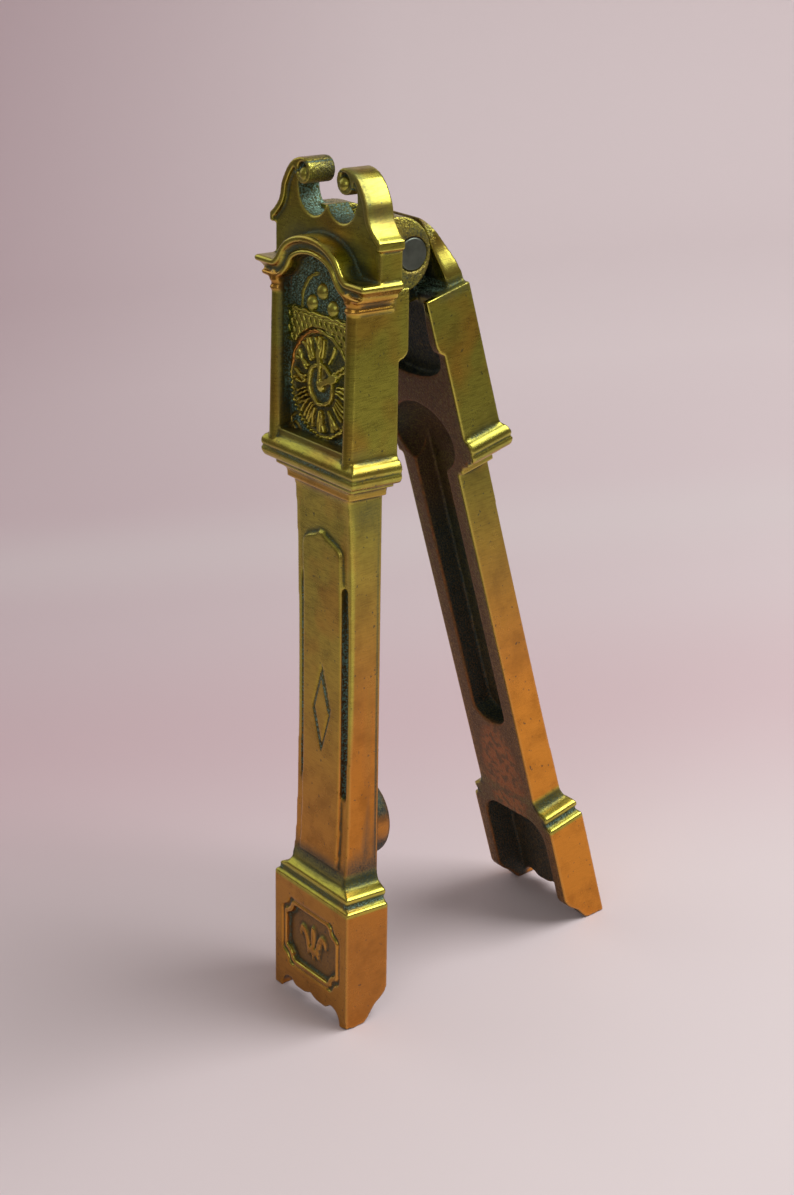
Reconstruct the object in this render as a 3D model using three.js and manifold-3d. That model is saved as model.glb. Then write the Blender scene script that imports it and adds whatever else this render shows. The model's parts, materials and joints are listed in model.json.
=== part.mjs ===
// Brass nutcracker in the form of a longcase clock: two cast arms that hinge on a steel pin.
// It stands open like a trestle, the dial side towards -Y, the hinge axis along X and the floor at Z = 0.
// Each arm is modelled in its own frame: Z runs up along the arm, Y points outwards, away from the
// other arm, and the pin's axis is the X axis. Levels are heights in that frame, so most are negative.
import * as THREE from 'three';
import { mergeVertices } from 'three/addons/utils/BufferGeometryUtils.js';
import Module from 'manifold-3d';

const wasm = await Module();
wasm.setup();

// Driving dimensions, in millimetres and degrees

// Stance
const OPENING = 16.3;
const ARM_LENGTH = 120;
const BACK_DROP = 0.9;

// Heights along an arm
const HOOD_TOP_DROP = 4.15;
const HOOD_DROP = 28;
const TORUS_HEIGHT = 4.3;
const TORUS_HOLLOW = 0.9;
const FILLET_HEIGHT = 2.7;
const PLINTH_MOULDING = 5.6;
const PLINTH_HEIGHT = 19;

// Widths shared by both arms
const HOOD_WIDTH = 21.1;
const TRUNK_WIDTH = 14;
const PLINTH_WIDTH = 19.9;
const TORUS_SIDE_PROUD = 1.4;

// Outward faces of the front arm
const FRONT_CHEEK = 1.95;
const FRONT_INNER = 3.6;
const FRONT_TRUNK = 9.85;
const FRONT_TRUNK_DISH = 0.9;
const FRONT_HOOD_TOP = 11.8;
const FRONT_HOOD_FOOT = 12.4;
const FRONT_PLINTH = 11.4;
const FRONT_TORUS_PROUD = 1;

// Outward faces of the back arm
const BACK_CHEEK = -0.9;
const BACK_INNER = 0.1;
const BACK_TRUNK = 5.8;
const BACK_TRUNK_DISH = 0.2;
const BACK_HOOD = 7;
const BACK_PLINTH = 7.05;
const BACK_TORUS_PROUD = 0.85;
const BACK_HOOD_TOP_DROP = 5.8;

// Cheeks, nut seats, channel and hollow plinth
const CHEEK_STEP_DROP = 12.6;
const CHEEK_STEP_HEIGHT = 1.9;
const CHEEK_LAND = 1.75;
const THROAT_FOOT_DROP = 20;
const THROAT_DEPTH = 1.9;
const THROAT_ROUND = 4;
const BOWL_DROP = 30.4;
const BOWL_HALF_WIDTH = 7.3;
const BOWL_HALF_HEIGHT = 5.7;
const BOWL_DEPTH = 4;
const CHANNEL_WIDTH = 7.8;
const CHANNEL_END = 2.6;
const CHANNEL_DEPTH = 3.5;
const WEB_HEIGHT = 18.5;
const HOLLOW_RISE = 1;
const PLINTH_SIDE_WALL = 2.4;
const PLINTH_FACE_WALL = 2.2;
const BOSS_RISE = 11.5;
const BOSS_RADIUS = 6.2;
const BOSS_EDGE = 1.2;
const CLOSED_GAP = 0.3;

// Bracket feet
const SOLE_DEPTH = 3.1;
const FOOT_CURVE_HEIGHT = 5.6;
const FOOT_WIDTH = 2;
const APRON_RISE = 2.3;
const LOBE_RISE = 1.4;
const CUSP_RISE = 2.1;
const LOBE_OFFSET = 3.65;

// Hinge
const PIN_RADIUS = 2.38;
const PIN_FIT = 0.08;
const PIN_CHAMFER = 0.25;
const HINGE_WIDTH = 17.1;
const EAR_RADIUS = 5.5;
const EAR_FORWARD = 2.4;
const TONGUE_WIDTH = 8;
const TONGUE_RADIUS = 4.5;
const SIDE_GAP = 0.3;
const WALL_FACE = 3.92;
const WALL_TOP = 3.4;
const WALL_CREST = 0.3;
const WALL_CORNER = 3;
const TONGUE_WEB_TOP = 2.5;

// Hood front, cornice and pediment
const COLUMN_RADIUS = 1.17;
const COLUMN_SETBACK = 0.8;
const DIAL_FACE = 9.3;
const DIAL_SILL = 0.5;
const DIAL_DROP = 19.4;
const DIAL_RADIUS = 8;
const DIAL_RELIEF = 0.4;
const DIAL_RIM = 0.6;
const CENTRE_RADIUS = 3.2;
const CENTRE_RIM = 0.5;
const HUB_RADIUS = 0.9;
const LONG_HAND = 5.9;
const LONG_HAND_ANGLE = 88;
const SHORT_HAND = 4.6;
const SHORT_HAND_ANGLE = 155;
const HAND_WIDTH = 1;
const BAR_GAP = 1.9;
const BAR_HEIGHT = 0.4;
const BALL_RADIUS = 1.3;
const BALL_PROUD = -0.35;
const BALL_SPREAD = 2.6;
const TOP_BALL_DROP = 5.8;
const LOW_BALL_DROP = 7.9;
const CORNICE_HEIGHT = 2.9;
const CORNICE_FRONT_PROUD = 0.6;
const CORNICE_SIDE_PROUD = 3.05;
const CORNICE_RISE = 1.75;
const CAPITAL_HEIGHT = 1.7;
const CAPITAL_BACK = 4.8;
const CAPITAL_PROUD = 0.4;
const ARCH_HALF = 8;
const ARCH_RISE = 4.8;
const ARCH_SPRING = 20;
const ARCH_SWEEP = 9.5;
const PLATE_BACK = 5.1;
const PLATE_FACE = 9;
const PEDIMENT_INSET = 0.5;
const SCROLL_DROP_HEIGHT = 2.1;
const SCROLL_LIP = 0.55;
const SCROLL_LIP_HEIGHT = 1.3;
const NECK_HOLLOW = 2.5;
const NECK_RISE = 1.8;
const NECK_REACH = 5.4;
const ROLL_OFFSET = 5.2;
const ROLL_HEIGHT = 10.6;
const ROLL_RADIUS = 1.9;
const ROLL_PROUD = 0.7;
const ROLL_RING = 0.65;
const EYE_OFFSET = 4.9;
const EYE_HEIGHT = 10.1;
const EYE_RADIUS = 1.15;
const EYE_PROUD = 0.3;
const RIM_WIDTH = 1;
const SCALLOP_OFFSET = 3.5;
const SCALLOP_HEIGHT = 8.3;
const SCALLOP_RADIUS = 3.75;
const CUSP_DROP = 1.6;

// Door, lozenge and grooves of the trunk
const DOOR_WIDTH = 9.8;
const DOOR_PROUD = 0.55;
const DOOR_HEAD_GAP = 6;
const DOOR_HEAD_HEIGHT = 3.4;
const DOOR_FOOT_GAP = 0.6;
const LOZENGE_WIDTH = 4.8;
const LOZENGE_HEIGHT = 14.2;
const LOZENGE_LINE = 0.45;
const LOZENGE_DEPTH = 0.32;
const GROOVE_WIDTH = 1;
const GROOVE_DEPTH = 0.9;
const GROOVE_TOP_GAP = 14.3;
const GROOVE_LENGTH = 33.6;

// Sunk panel of the plinth
const PANEL_WIDTH = 13.4;
const PANEL_HEIGHT = 9.6;
const PANEL_DROP = 8.3;
const PANEL_NOTCH = 2.4;
const PANEL_DEPTH = 0.8;
const FRAME_MARGIN = 1.1;
const FRAME_LINE = 0.5;
const FRAME_DEPTH = 0.45;
const LILY_HEIGHT = 6.2;
const LILY_RELIEF = 0.42;

// Levels and halves that follow from the sizes above
const HOOD_TOP = -HOOD_TOP_DROP;
const HOOD_FOOT = -HOOD_DROP;
const TORUS_FOOT = HOOD_FOOT - TORUS_HEIGHT;
const TRUNK_TOP = TORUS_FOOT - FILLET_HEIGHT;
const SOLE = -ARM_LENGTH;
const PLINTH_TOP = SOLE + PLINTH_HEIGHT;
const TRUNK_FOOT = PLINTH_TOP + PLINTH_MOULDING;
const WEB_TOP = PLINTH_TOP + WEB_HEIGHT;
const CHEEK_FOOT = -CHEEK_STEP_DROP;
const STEP_FOOT = CHEEK_FOOT - CHEEK_STEP_HEIGHT;
const HOOD_HALF = HOOD_WIDTH / 2;
const TRUNK_HALF = TRUNK_WIDTH / 2;
const PLINTH_HALF = PLINTH_WIDTH / 2;
const HINGE_HALF = HINGE_WIDTH / 2;
const EAR_INNER = TONGUE_WIDTH / 2 + SIDE_GAP;
const CORNICE_TOP = HOOD_TOP + CORNICE_RISE;
const PEDIMENT_HALF = HOOD_HALF + CORNICE_SIDE_PROUD - PEDIMENT_INSET;
const RECESS_HALF = HOOD_HALF - 2 * COLUMN_RADIUS;

// Facets of round work, how far a cut runs past what it cuts, how far a joined piece beds into what
// carries it, and the shortest edge that is kept
const ROUND = 40;
const BORE_RADIUS = (PIN_RADIUS + PIN_FIT) / Math.cos(Math.PI / ROUND);
const PAST = 5;
const BED = 1;
const SHORTEST_EDGE = 0.01;

// Points of an elliptical arc about (u, v), between two angles in degrees
function arc(u, v, radiusU, radiusV, from, to, steps = 6) {
  return Array.from({ length: steps + 1 }, (_, i) => {
    const angle = THREE.MathUtils.degToRad(from + ((to - from) * i) / steps);
    return [u + radiusU * Math.cos(angle), v + radiusV * Math.sin(angle)];
  });
}

// Points of a curve given by its end points and control points
function bezier(from, controlA, controlB, to, steps = 8) {
  const points = [from, controlA, controlB, to].map(([u, v]) => new THREE.Vector2(u, v));
  return new THREE.CubicBezierCurve(...points).getPoints(steps).map((p) => [p.x, p.y]);
}

function outline(points) {
  return new THREE.Shape(points.map(([u, v]) => new THREE.Vector2(u, v)));
}

// A whole outline from the points of its right-hand side, listed from top to bottom
function mirrored(half) {
  return outline([...half, ...half.map(([u, v]) => [-u, v]).reverse()]);
}

// A closed geometry as a solid that can be joined and cut
function solid(geometry) {
  geometry.deleteAttribute('normal');
  geometry.deleteAttribute('uv');
  const merged = mergeVertices(geometry, 1e-4);
  return new wasm.Manifold(new wasm.Mesh({
    numProp: 3,
    vertProperties: Float32Array.from(merged.attributes.position.array),
    triVerts: Uint32Array.from(merged.index.array),
  }));
}

function extruded(shape, basis, length) {
  const geometry = new THREE.ExtrudeGeometry(shape, { depth: length, bevelEnabled: false });
  return solid(geometry.applyMatrix4(basis));
}

const AXIS_X = new THREE.Vector3(1, 0, 0);
const AXIS_Y = new THREE.Vector3(0, 1, 0);
const AXIS_Z = new THREE.Vector3(0, 0, 1);

// Prism along X of an outline in Y and Z
function alongX(shape, low, high) {
  const basis = new THREE.Matrix4().makeBasis(AXIS_Y, AXIS_Z, AXIS_X).setPosition(low, 0, 0);
  return extruded(shape, basis, high - low);
}

// Prism along Y of an outline in X and Z
function alongY(shape, low, high) {
  const inwards = AXIS_Y.clone().negate();
  const basis = new THREE.Matrix4().makeBasis(AXIS_X, AXIS_Z, inwards).setPosition(0, high, 0);
  return extruded(shape, basis, high - low);
}

// Round work about a line along X through (y, z)
function roundX(radius, low, high, y = 0, z = 0) {
  return alongX(outline(arc(y, z, radius, radius, 0, 360, ROUND).slice(1)), low, high);
}

// Round work about a line along Y through (x, z)
function roundY(radius, low, high, x, z, sides = ROUND) {
  return alongY(outline(arc(x, z, radius, radius, 0, 360, sides).slice(1)), low, high);
}

function boxY(halfWidth, top, foot, low, high, x = 0) {
  const [left, right] = [x - halfWidth, x + halfWidth];
  return alongY(outline([[left, foot], [right, foot], [right, top], [left, top]]), low, high);
}

// Carries a closed profile of [depth, outward] points along a path of [x, z] points.
// Depth is measured to the right of travel, which is downwards where the path runs towards +X.
function sweep(path, profile) {
  const positions = path.flatMap(([x, z], i) => {
    const before = path[Math.max(i - 1, 0)];
    const after = path[Math.min(i + 1, path.length - 1)];
    const travel = new THREE.Vector2(after[0] - before[0], after[1] - before[1]).normalize();
    return profile.flatMap(([depth, outward]) => [x + travel.y * depth, outward, z - travel.x * depth]);
  });
  const count = profile.length;
  const last = (path.length - 1) * count;
  const indices = [];
  for (let i = 0; i < path.length - 1; i += 1) {
    for (let j = 0; j < count; j += 1) {
      const a = i * count + j;
      const b = i * count + ((j + 1) % count);
      indices.push(a, b, a + count, b, b + count, a + count);
    }
  }
  const contour = profile.map(([u, v]) => new THREE.Vector2(u, v));
  for (const [a, b, c] of THREE.ShapeUtils.triangulateShape(contour, [])) {
    indices.push(a, c, b, last + a, last + b, last + c);
  }
  const geometry = new THREE.BufferGeometry();
  geometry.setAttribute('position', new THREE.Float32BufferAttribute(positions, 3));
  geometry.setIndex(indices);
  return solid(geometry);
}

// Hollow, grooved torus and fillets under the hood, from the hood's face down and in to the trunk's
function hoodBase(hood, trunk, proud) {
  const step = (share) => trunk + (hood - trunk) * share;
  const fillet = FILLET_HEIGHT / 3;
  const hollowEnd = hood + proud * 0.55;
  const half = (TORUS_HEIGHT - TORUS_HOLLOW) / 2;
  const [core, middle] = [hood + proud * 0.35, TORUS_FOOT + half];
  const bead = (from, to) => arc(core, middle, proud * 0.65, half, from, to, 4);
  return [
    ...arc(hollowEnd, HOOD_FOOT, hood - hollowEnd, -TORUS_HOLLOW, 0, 90, 4),
    ...bead(70, 8),
    [core + proud * 0.3, middle - half * 0.05],
    ...bead(-14, -90),
    [step(0.8), TORUS_FOOT],
    [step(0.8), TORUS_FOOT - fillet],
    ...arc(step(0.8), TORUS_FOOT - 2 * fillet, step(0.3) - step(0.8), fillet, 90, 0, 3).slice(1),
    [step(0.3), TRUNK_TOP],
    [trunk, TRUNK_TOP],
  ];
}

// Hollow, sloping roll, scotia and arris on top of the plinth, from the trunk's face out to the plinth's
function plinthTop(trunk, plinth) {
  const at = (share, drop) => [trunk + (plinth - trunk) * share, TRUNK_FOOT - PLINTH_MOULDING * drop];
  const [hollowEnd, hollowFoot] = at(0.34, 0.36);
  return [
    ...arc(hollowEnd, TRUNK_FOOT, trunk - hollowEnd, hollowFoot - TRUNK_FOOT, 0, 90, 5),
    ...bezier(at(0.66, 0.43), at(0.82, 0.47), at(0.86, 0.55), at(0.76, 0.62), 4),
    ...bezier(at(0.76, 0.62), at(0.58, 0.68), at(0.6, 0.79), at(0.8, 0.81), 4).slice(1),
    at(0.96, 0.84),
    at(1, 0.9),
    at(1, 1),
  ];
}

// Two fillets with a hollow between them, round about each column and straight along the hood's sides
function capital() {
  const top = CORNICE_TOP - CORNICE_HEIGHT;
  const steps = [[1, 0], [1, 0.2], [0.2, 0.32], [0.2, 0.6], [0.9, 0.74], [0.9, 0.92], [0, 1]];
  const profile = (face) => steps.map(([proud, drop]) => (
    [face + CAPITAL_PROUD * proud, top - CAPITAL_HEIGHT * drop]
  ));
  const turned = [[0, top], ...profile(COLUMN_RADIUS), [0, top - CAPITAL_HEIGHT]].reverse()
    .map(([r, z]) => new THREE.Vector2(r, z));
  const middle = FRONT_HOOD_TOP - COLUMN_RADIUS;
  const rings = [-1, 1].map((sign) => {
    const ring = new THREE.LatheGeometry(turned, 24).rotateX(Math.PI / 2);
    return solid(ring.translate(sign * (HOOD_HALF - COLUMN_RADIUS), middle, 0));
  });
  return [alongY(mirrored(profile(HOOD_HALF)), CAPITAL_BACK, middle), ...rings];
}

// Where the floor meets each arm: the lean that stands both soles on one level
const OPENING_ANGLE = THREE.MathUtils.degToRad(OPENING);
const FRONT_SOLE_MIDDLE = FRONT_PLINTH - SOLE_DEPTH / 2;
const BACK_SOLE_MIDDLE = BACK_PLINTH - SOLE_DEPTH / 2;
const BACK_LENGTH = ARM_LENGTH + BACK_DROP;
const FRONT_LEAN = Math.atan2(
  ARM_LENGTH + BACK_SOLE_MIDDLE * Math.sin(OPENING_ANGLE) - BACK_LENGTH * Math.cos(OPENING_ANGLE),
  BACK_SOLE_MIDDLE * Math.cos(OPENING_ANGLE) + BACK_LENGTH * Math.sin(OPENING_ANGLE) + FRONT_SOLE_MIDDLE,
);
const BACK_LEAN = OPENING_ANGLE - FRONT_LEAN;

// Ground under one arm, in that arm's frame: a slab that slopes with the arm's lean
function ground(soleMiddle, lean) {
  const slope = Math.tan(lean);
  const reach = ARM_LENGTH;
  return alongX(outline([
    [soleMiddle - reach, SOLE + slope * reach],
    [soleMiddle - reach, SOLE - 2 * reach],
    [soleMiddle + reach, SOLE - 2 * reach],
    [soleMiddle + reach, SOLE - slope * reach],
  ]), -PLINTH_WIDTH, PLINTH_WIDTH);
}

// Side view of the foot, from the inner face down round the ogee to the sole's outer edge
function footProfile(inner, plinth) {
  const heel = plinth - SOLE_DEPTH;
  const at = (across, rise) => [inner + (heel - inner) * across, SOLE + FOOT_CURVE_HEIGHT * rise];
  return [
    ...bezier(at(0, 1), at(0.09, 0.71), at(0.37, 0.63), at(0.5, 0.5), 5),
    ...bezier(at(0.5, 0.5), at(0.67, 0.34), at(0.81, 0.05), at(1, 0), 5).slice(1),
    [heel, SOLE - PAST],
    [plinth, SOLE - PAST],
  ];
}

// One arm's casting before its ornament: the front and side elevations cut from one block, which
// mitres every moulding at the corners, then hollowed from the inside and cut to the floor
function armBlank(faces) {
  const front = mirrored([
    [HOOD_HALF, faces.hoodTopLevel],
    ...hoodBase(HOOD_HALF, TRUNK_HALF, TORUS_SIDE_PROUD),
    ...plinthTop(TRUNK_HALF, PLINTH_HALF),
    [PLINTH_HALF, SOLE - PAST],
  ]);
  const trunkMiddle = (TRUNK_TOP + TRUNK_FOOT) / 2;
  const trunkHalf = (TRUNK_TOP - TRUNK_FOOT) / 2;
  const dish = arc(faces.trunk, trunkMiddle, -faces.dish, trunkHalf, 90, -90, 12).slice(1, -1);
  const side = outline([
    [faces.cheek, faces.hoodTopLevel],
    ...arc(faces.inner, CHEEK_FOOT, faces.cheek - faces.inner, STEP_FOOT - CHEEK_FOOT, 0, 90, 5),
    ...footProfile(faces.inner, faces.plinth),
    ...plinthTop(faces.trunk, faces.plinth).reverse(),
    ...dish.reverse(),
    ...hoodBase(faces.hoodFoot, faces.trunk, faces.torusProud).reverse(),
    [faces.hoodTop, faces.hoodTopLevel],
  ]);
  const widest = HOOD_WIDTH + PLINTH_WIDTH;
  const block = alongY(front, -widest, widest).intersect(alongX(side, -widest, widest));
  return hollowed(block, faces).subtract(apron()).subtract(ground(faces.soleMiddle, faces.lean));
}

// Throat between the cheeks, nut bowl, channel down the trunk and hollow plinth
function hollowed(block, faces) {
  const inward = faces.cheek - PAST;
  const throatHalf = HOOD_HALF - CHEEK_LAND;
  const throatShape = outline([
    [-throatHalf, PAST],
    ...arc(0, THROAT_ROUND - THROAT_FOOT_DROP, throatHalf, THROAT_ROUND, 180, 360, 10),
    [throatHalf, PAST],
  ]);
  const bowl = new THREE.SphereGeometry(1, 28, 16);
  bowl.scale(BOWL_HALF_WIDTH, BOWL_DEPTH, BOWL_HALF_HEIGHT).translate(0, faces.inner, -BOWL_DROP);
  const channelHalf = CHANNEL_WIDTH / 2;
  const channelShape = outline([
    [-channelHalf, -BOWL_DROP],
    ...arc(0, WEB_TOP + CHANNEL_END, channelHalf, CHANNEL_END, 180, 360, 10),
    [channelHalf, -BOWL_DROP],
  ]);
  const plinthHalf = PLINTH_HALF - PLINTH_SIDE_WALL;
  const corner = plinthHalf / 2;
  const hollowTop = PLINTH_TOP + HOLLOW_RISE;
  const plinthShape = outline([
    [-plinthHalf, SOLE - 2 * PAST],
    [plinthHalf, SOLE - 2 * PAST],
    ...arc(plinthHalf - corner, hollowTop - corner, corner, corner, 0, 90, 5),
    ...arc(corner - plinthHalf, hollowTop - corner, corner, corner, 90, 180, 5),
  ]);
  return block
    .subtract(alongY(throatShape, inward, faces.inner + THROAT_DEPTH))
    .subtract(solid(bowl))
    .subtract(alongY(channelShape, inward, faces.inner + CHANNEL_DEPTH))
    .subtract(alongY(plinthShape, inward, faces.plinth - PLINTH_FACE_WALL));
}

// Curve between two points that leaves and arrives level
function swing(from, to) {
  const middle = (from[0] + to[0]) / 2;
  return bezier(from, [middle, from[1]], [middle, to[1]], to, 5);
}

// Scalloped space under the plinth's front board, between the feet
function apron() {
  const footInner = PLINTH_HALF - FOOT_WIDTH;
  const cusp = [0, SOLE + CUSP_RISE];
  const lobe = [LOBE_OFFSET, SOLE + LOBE_RISE];
  const crest = [(LOBE_OFFSET + footInner) / 2, SOLE + APRON_RISE];
  const half = [
    ...bezier(cusp, [LOBE_OFFSET * 0.3, lobe[1]], [LOBE_OFFSET * 0.6, lobe[1]], lobe, 5),
    ...swing(lobe, crest).slice(1),
    ...arc(crest[0], SOLE, footInner - crest[0], APRON_RISE, 90, 0, 5).slice(1),
    [footInner, SOLE - 2 * PAST],
  ];
  return alongY(mirrored(half), -PLINTH_WIDTH, PLINTH_WIDTH);
}

// Break-arch cornice: one moulding carried up over the arch and mitred to its side returns.
// The shares are the drop from its top, and how far it stands out in front and at the sides there.
function cornice() {
  const shares = [
    [0, 0.85, 0.85], [0.07, 1, 1], [0.31, 1, 1], [0.37, 0.6, 0.88], [0.54, 0.36, 0.7], [0.7, 0.36, 0.58],
    [0.75, 0.74, 0.6], [0.93, 0.74, 0.48], [1, 0.3, 0.16],
  ];
  const levels = shares.map(([drop, ...proud]) => [drop * CORNICE_HEIGHT, ...proud]);
  const face = FRONT_HOOD_TOP - COLUMN_SETBACK;
  const reach = CORNICE_FRONT_PROUD + COLUMN_SETBACK;
  const edge = levels.map(([depth, proud]) => [depth, face + reach * proud]).reverse();
  const profile = [[0, PLATE_BACK], [CORNICE_HEIGHT, PLATE_BACK], ...edge];
  const crown = arc(0, CORNICE_TOP, ARCH_HALF, ARCH_RISE, 180 - ARCH_SPRING, ARCH_SPRING, 20);
  const [footX, footZ] = crown[crown.length - 1];
  const steepness = (ARCH_RISE / ARCH_HALF) / Math.tan(THREE.MathUtils.degToRad(ARCH_SPRING));
  const foot = new THREE.QuadraticBezierCurve(
    new THREE.Vector2(footX, footZ),
    new THREE.Vector2(footX + (footZ - CORNICE_TOP) / steepness, CORNICE_TOP),
    new THREE.Vector2(ARCH_SWEEP, CORNICE_TOP),
  ).getPoints(5).slice(1).map((p) => [p.x, p.y]);
  const right = [...foot, [HOOD_WIDTH, CORNICE_TOP]];
  const left = right.map(([x, z]) => [-x, z]).reverse();
  const front = sweep([...left, ...crown, ...right], profile);
  const half = levels.map(([depth, , proud]) => (
    [HOOD_HALF + CORNICE_SIDE_PROUD * proud, CORNICE_TOP - depth]
  ));
  const overArch = [half[0][0], CORNICE_TOP + 2 * ARCH_RISE];
  return front.intersect(alongY(mirrored([overArch, ...half]), -HOOD_WIDTH, HOOD_WIDTH));
}

// Swan-neck pediment: a plate with two scrolls that end in rolls, over a scalloped opening
function pediment() {
  const lip = PEDIMENT_HALF + SCROLL_LIP;
  const lipTop = SCROLL_DROP_HEIGHT + SCROLL_LIP_HEIGHT;
  const rollTop = ROLL_HEIGHT + ROLL_RADIUS;
  const neck = bezier([lip, lipTop], [PEDIMENT_HALF - NECK_HOLLOW, lipTop + NECK_RISE],
    [ROLL_OFFSET + NECK_REACH, rollTop], [ROLL_OFFSET, rollTop], 12);
  const plate = alongY(mirrored([
    [ROLL_OFFSET, SCALLOP_HEIGHT - CUSP_DROP],
    ...neck.slice().reverse(),
    [lip, SCROLL_DROP_HEIGHT],
    [PEDIMENT_HALF, SCROLL_DROP_HEIGHT],
    [PEDIMENT_HALF, CORNICE_TOP - CORNICE_HEIGHT / 2],
  ]), PLATE_BACK, PLATE_FACE);
  const rimInner = neck.map(([x, z], i) => {
    const [ax, az] = neck[Math.max(i - 1, 0)];
    const [bx, bz] = neck[Math.min(i + 1, neck.length - 1)];
    const length = Math.hypot(bx - ax, bz - az);
    return [x - (RIM_WIDTH * (bz - az)) / length, z + (RIM_WIDTH * (bx - ax)) / length];
  });
  const rim = [[lip, SCROLL_DROP_HEIGHT], ...neck, ...rimInner.slice().reverse(),
    [lip - RIM_WIDTH, SCROLL_DROP_HEIGHT]];
  const through = [PLATE_BACK - PAST, PLATE_FACE + PAST];
  const rollFace = PLATE_FACE + ROLL_PROUD;
  let body = plate;
  for (const sign of [-1, 1]) {
    body = body.subtract(roundY(SCALLOP_RADIUS, ...through, sign * SCALLOP_OFFSET, SCALLOP_HEIGHT));
  }
  for (const sign of [-1, 1]) {
    const side = sign > 0 ? rim : rim.map(([x, z]) => [-x, z]).reverse();
    const centre = [sign * ROLL_OFFSET, ROLL_HEIGHT];
    const eye = new THREE.SphereGeometry(EYE_RADIUS, 16, 12);
    eye.translate(sign * EYE_OFFSET, rollFace + EYE_PROUD - EYE_RADIUS, EYE_HEIGHT);
    body = body
      .add(alongY(outline(side), PLATE_BACK, rollFace))
      .add(roundY(ROLL_RADIUS, PLATE_BACK, rollFace, ...centre, 24))
      .subtract(roundY(ROLL_RADIUS - ROLL_RING, PLATE_FACE, rollFace + PAST, ...centre, 24))
      .add(solid(eye));
  }
  return body;
}

// Board behind the arch, level with the dial
function tympanum() {
  const inside = CORNICE_HEIGHT / 3;
  const half = ARCH_HALF - inside;
  const crown = arc(0, CORNICE_TOP, half, ARCH_RISE - inside, 0, 180, 16);
  const foot = HOOD_TOP - CORNICE_HEIGHT;
  return alongY(outline([...crown, [-half, foot], [half, foot]]), PLATE_BACK, DIAL_FACE);
}

// Round column at each front corner of the hood, leaning with the hood's front
function columns() {
  const foot = FRONT_HOOD_FOOT - COLUMN_RADIUS;
  const top = FRONT_HOOD_TOP - COLUMN_RADIUS;
  const seat = HOOD_FOOT - TORUS_HEIGHT / 4;
  const height = HOOD_TOP - seat;
  const lean = Math.atan2(foot - top, height);
  return [-1, 1].map((sign) => {
    const shaft = new THREE.CylinderGeometry(COLUMN_RADIUS, COLUMN_RADIUS, height / Math.cos(lean), 20);
    shaft.rotateX(Math.PI / 2 + lean);
    shaft.translate(sign * (HOOD_HALF - COLUMN_RADIUS), (foot + top) / 2, (HOOD_TOP + seat) / 2);
    return solid(shaft);
  });
}

// Dial in low relief: rim, centre ring, hands, the bar over it and three balls in the arch
function dial() {
  const centre = -DIAL_DROP;
  const sunk = DIAL_FACE - BED;
  const face = DIAL_FACE + DIAL_RELIEF;
  const ring = (outer, line) => roundY(outer, sunk, face, 0, centre)
    .subtract(roundY(outer - line, sunk - BED, face + BED, 0, centre));
  const hand = (degrees, length) => {
    const angle = THREE.MathUtils.degToRad(degrees);
    const [cos, sin] = [Math.cos(angle), Math.sin(angle)];
    const half = HAND_WIDTH / 2;
    const shape = [[0, -half], [length * 0.7, -half], [length, 0], [length * 0.7, half], [0, half]]
      .map(([r, w]) => [r * cos - w * sin, centre + r * sin + w * cos]);
    return alongY(outline(shape), sunk, face + DIAL_RELIEF / 2);
  };
  const places = [[0, TOP_BALL_DROP], [-BALL_SPREAD, LOW_BALL_DROP], [BALL_SPREAD, LOW_BALL_DROP]];
  const balls = places.map(([x, drop]) => {
    const ball = new THREE.SphereGeometry(BALL_RADIUS, 14, 10);
    return solid(ball.translate(x, DIAL_FACE + BALL_PROUD, -drop));
  });
  const barFoot = centre + DIAL_RADIUS + BAR_GAP;
  return [
    ring(DIAL_RADIUS, DIAL_RIM),
    ring(CENTRE_RADIUS, CENTRE_RIM),
    roundY(HUB_RADIUS, sunk, face + DIAL_RELIEF, 0, centre, 16),
    hand(LONG_HAND_ANGLE, LONG_HAND),
    hand(SHORT_HAND_ANGLE, SHORT_HAND),
    boxY(RECESS_HALF + COLUMN_RADIUS / 2, barFoot + BAR_HEIGHT, barFoot, sunk, face),
    ...balls,
  ];
}

// Ogee-headed door, proud of the dished trunk
function door() {
  const shoulder = TRUNK_TOP - DOOR_HEAD_GAP - DOOR_HEAD_HEIGHT;
  const half = DOOR_WIDTH / 2;
  const at = (across, rise) => [half * across, shoulder + DOOR_HEAD_HEIGHT * rise];
  const shape = mirrored([
    ...bezier(at(0, 1), at(0.1, 0.68), at(0.35, 0.59), at(0.55, 0.5), 4).slice(1),
    ...bezier(at(0.55, 0.5), at(0.77, 0.41), at(0.98, 0.26), at(1, 0), 4).slice(1),
    [half, TRUNK_FOOT + DOOR_FOOT_GAP],
  ]);
  const trunkMiddle = (TRUNK_TOP + TRUNK_FOOT) / 2;
  const trunkHalf = (TRUNK_TOP - TRUNK_FOOT) / 2;
  const face = arc(FRONT_TRUNK + DOOR_PROUD, trunkMiddle, -FRONT_TRUNK_DISH, trunkHalf, 90, -90, 12);
  const sunk = FRONT_TRUNK - FRONT_TRUNK_DISH - BED;
  const section = outline([[sunk, TRUNK_TOP], ...face, [sunk, TRUNK_FOOT]].reverse());
  return alongY(shape, 0, FRONT_TRUNK + PAST).intersect(alongX(section, -TRUNK_WIDTH, TRUNK_WIDTH));
}

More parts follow.
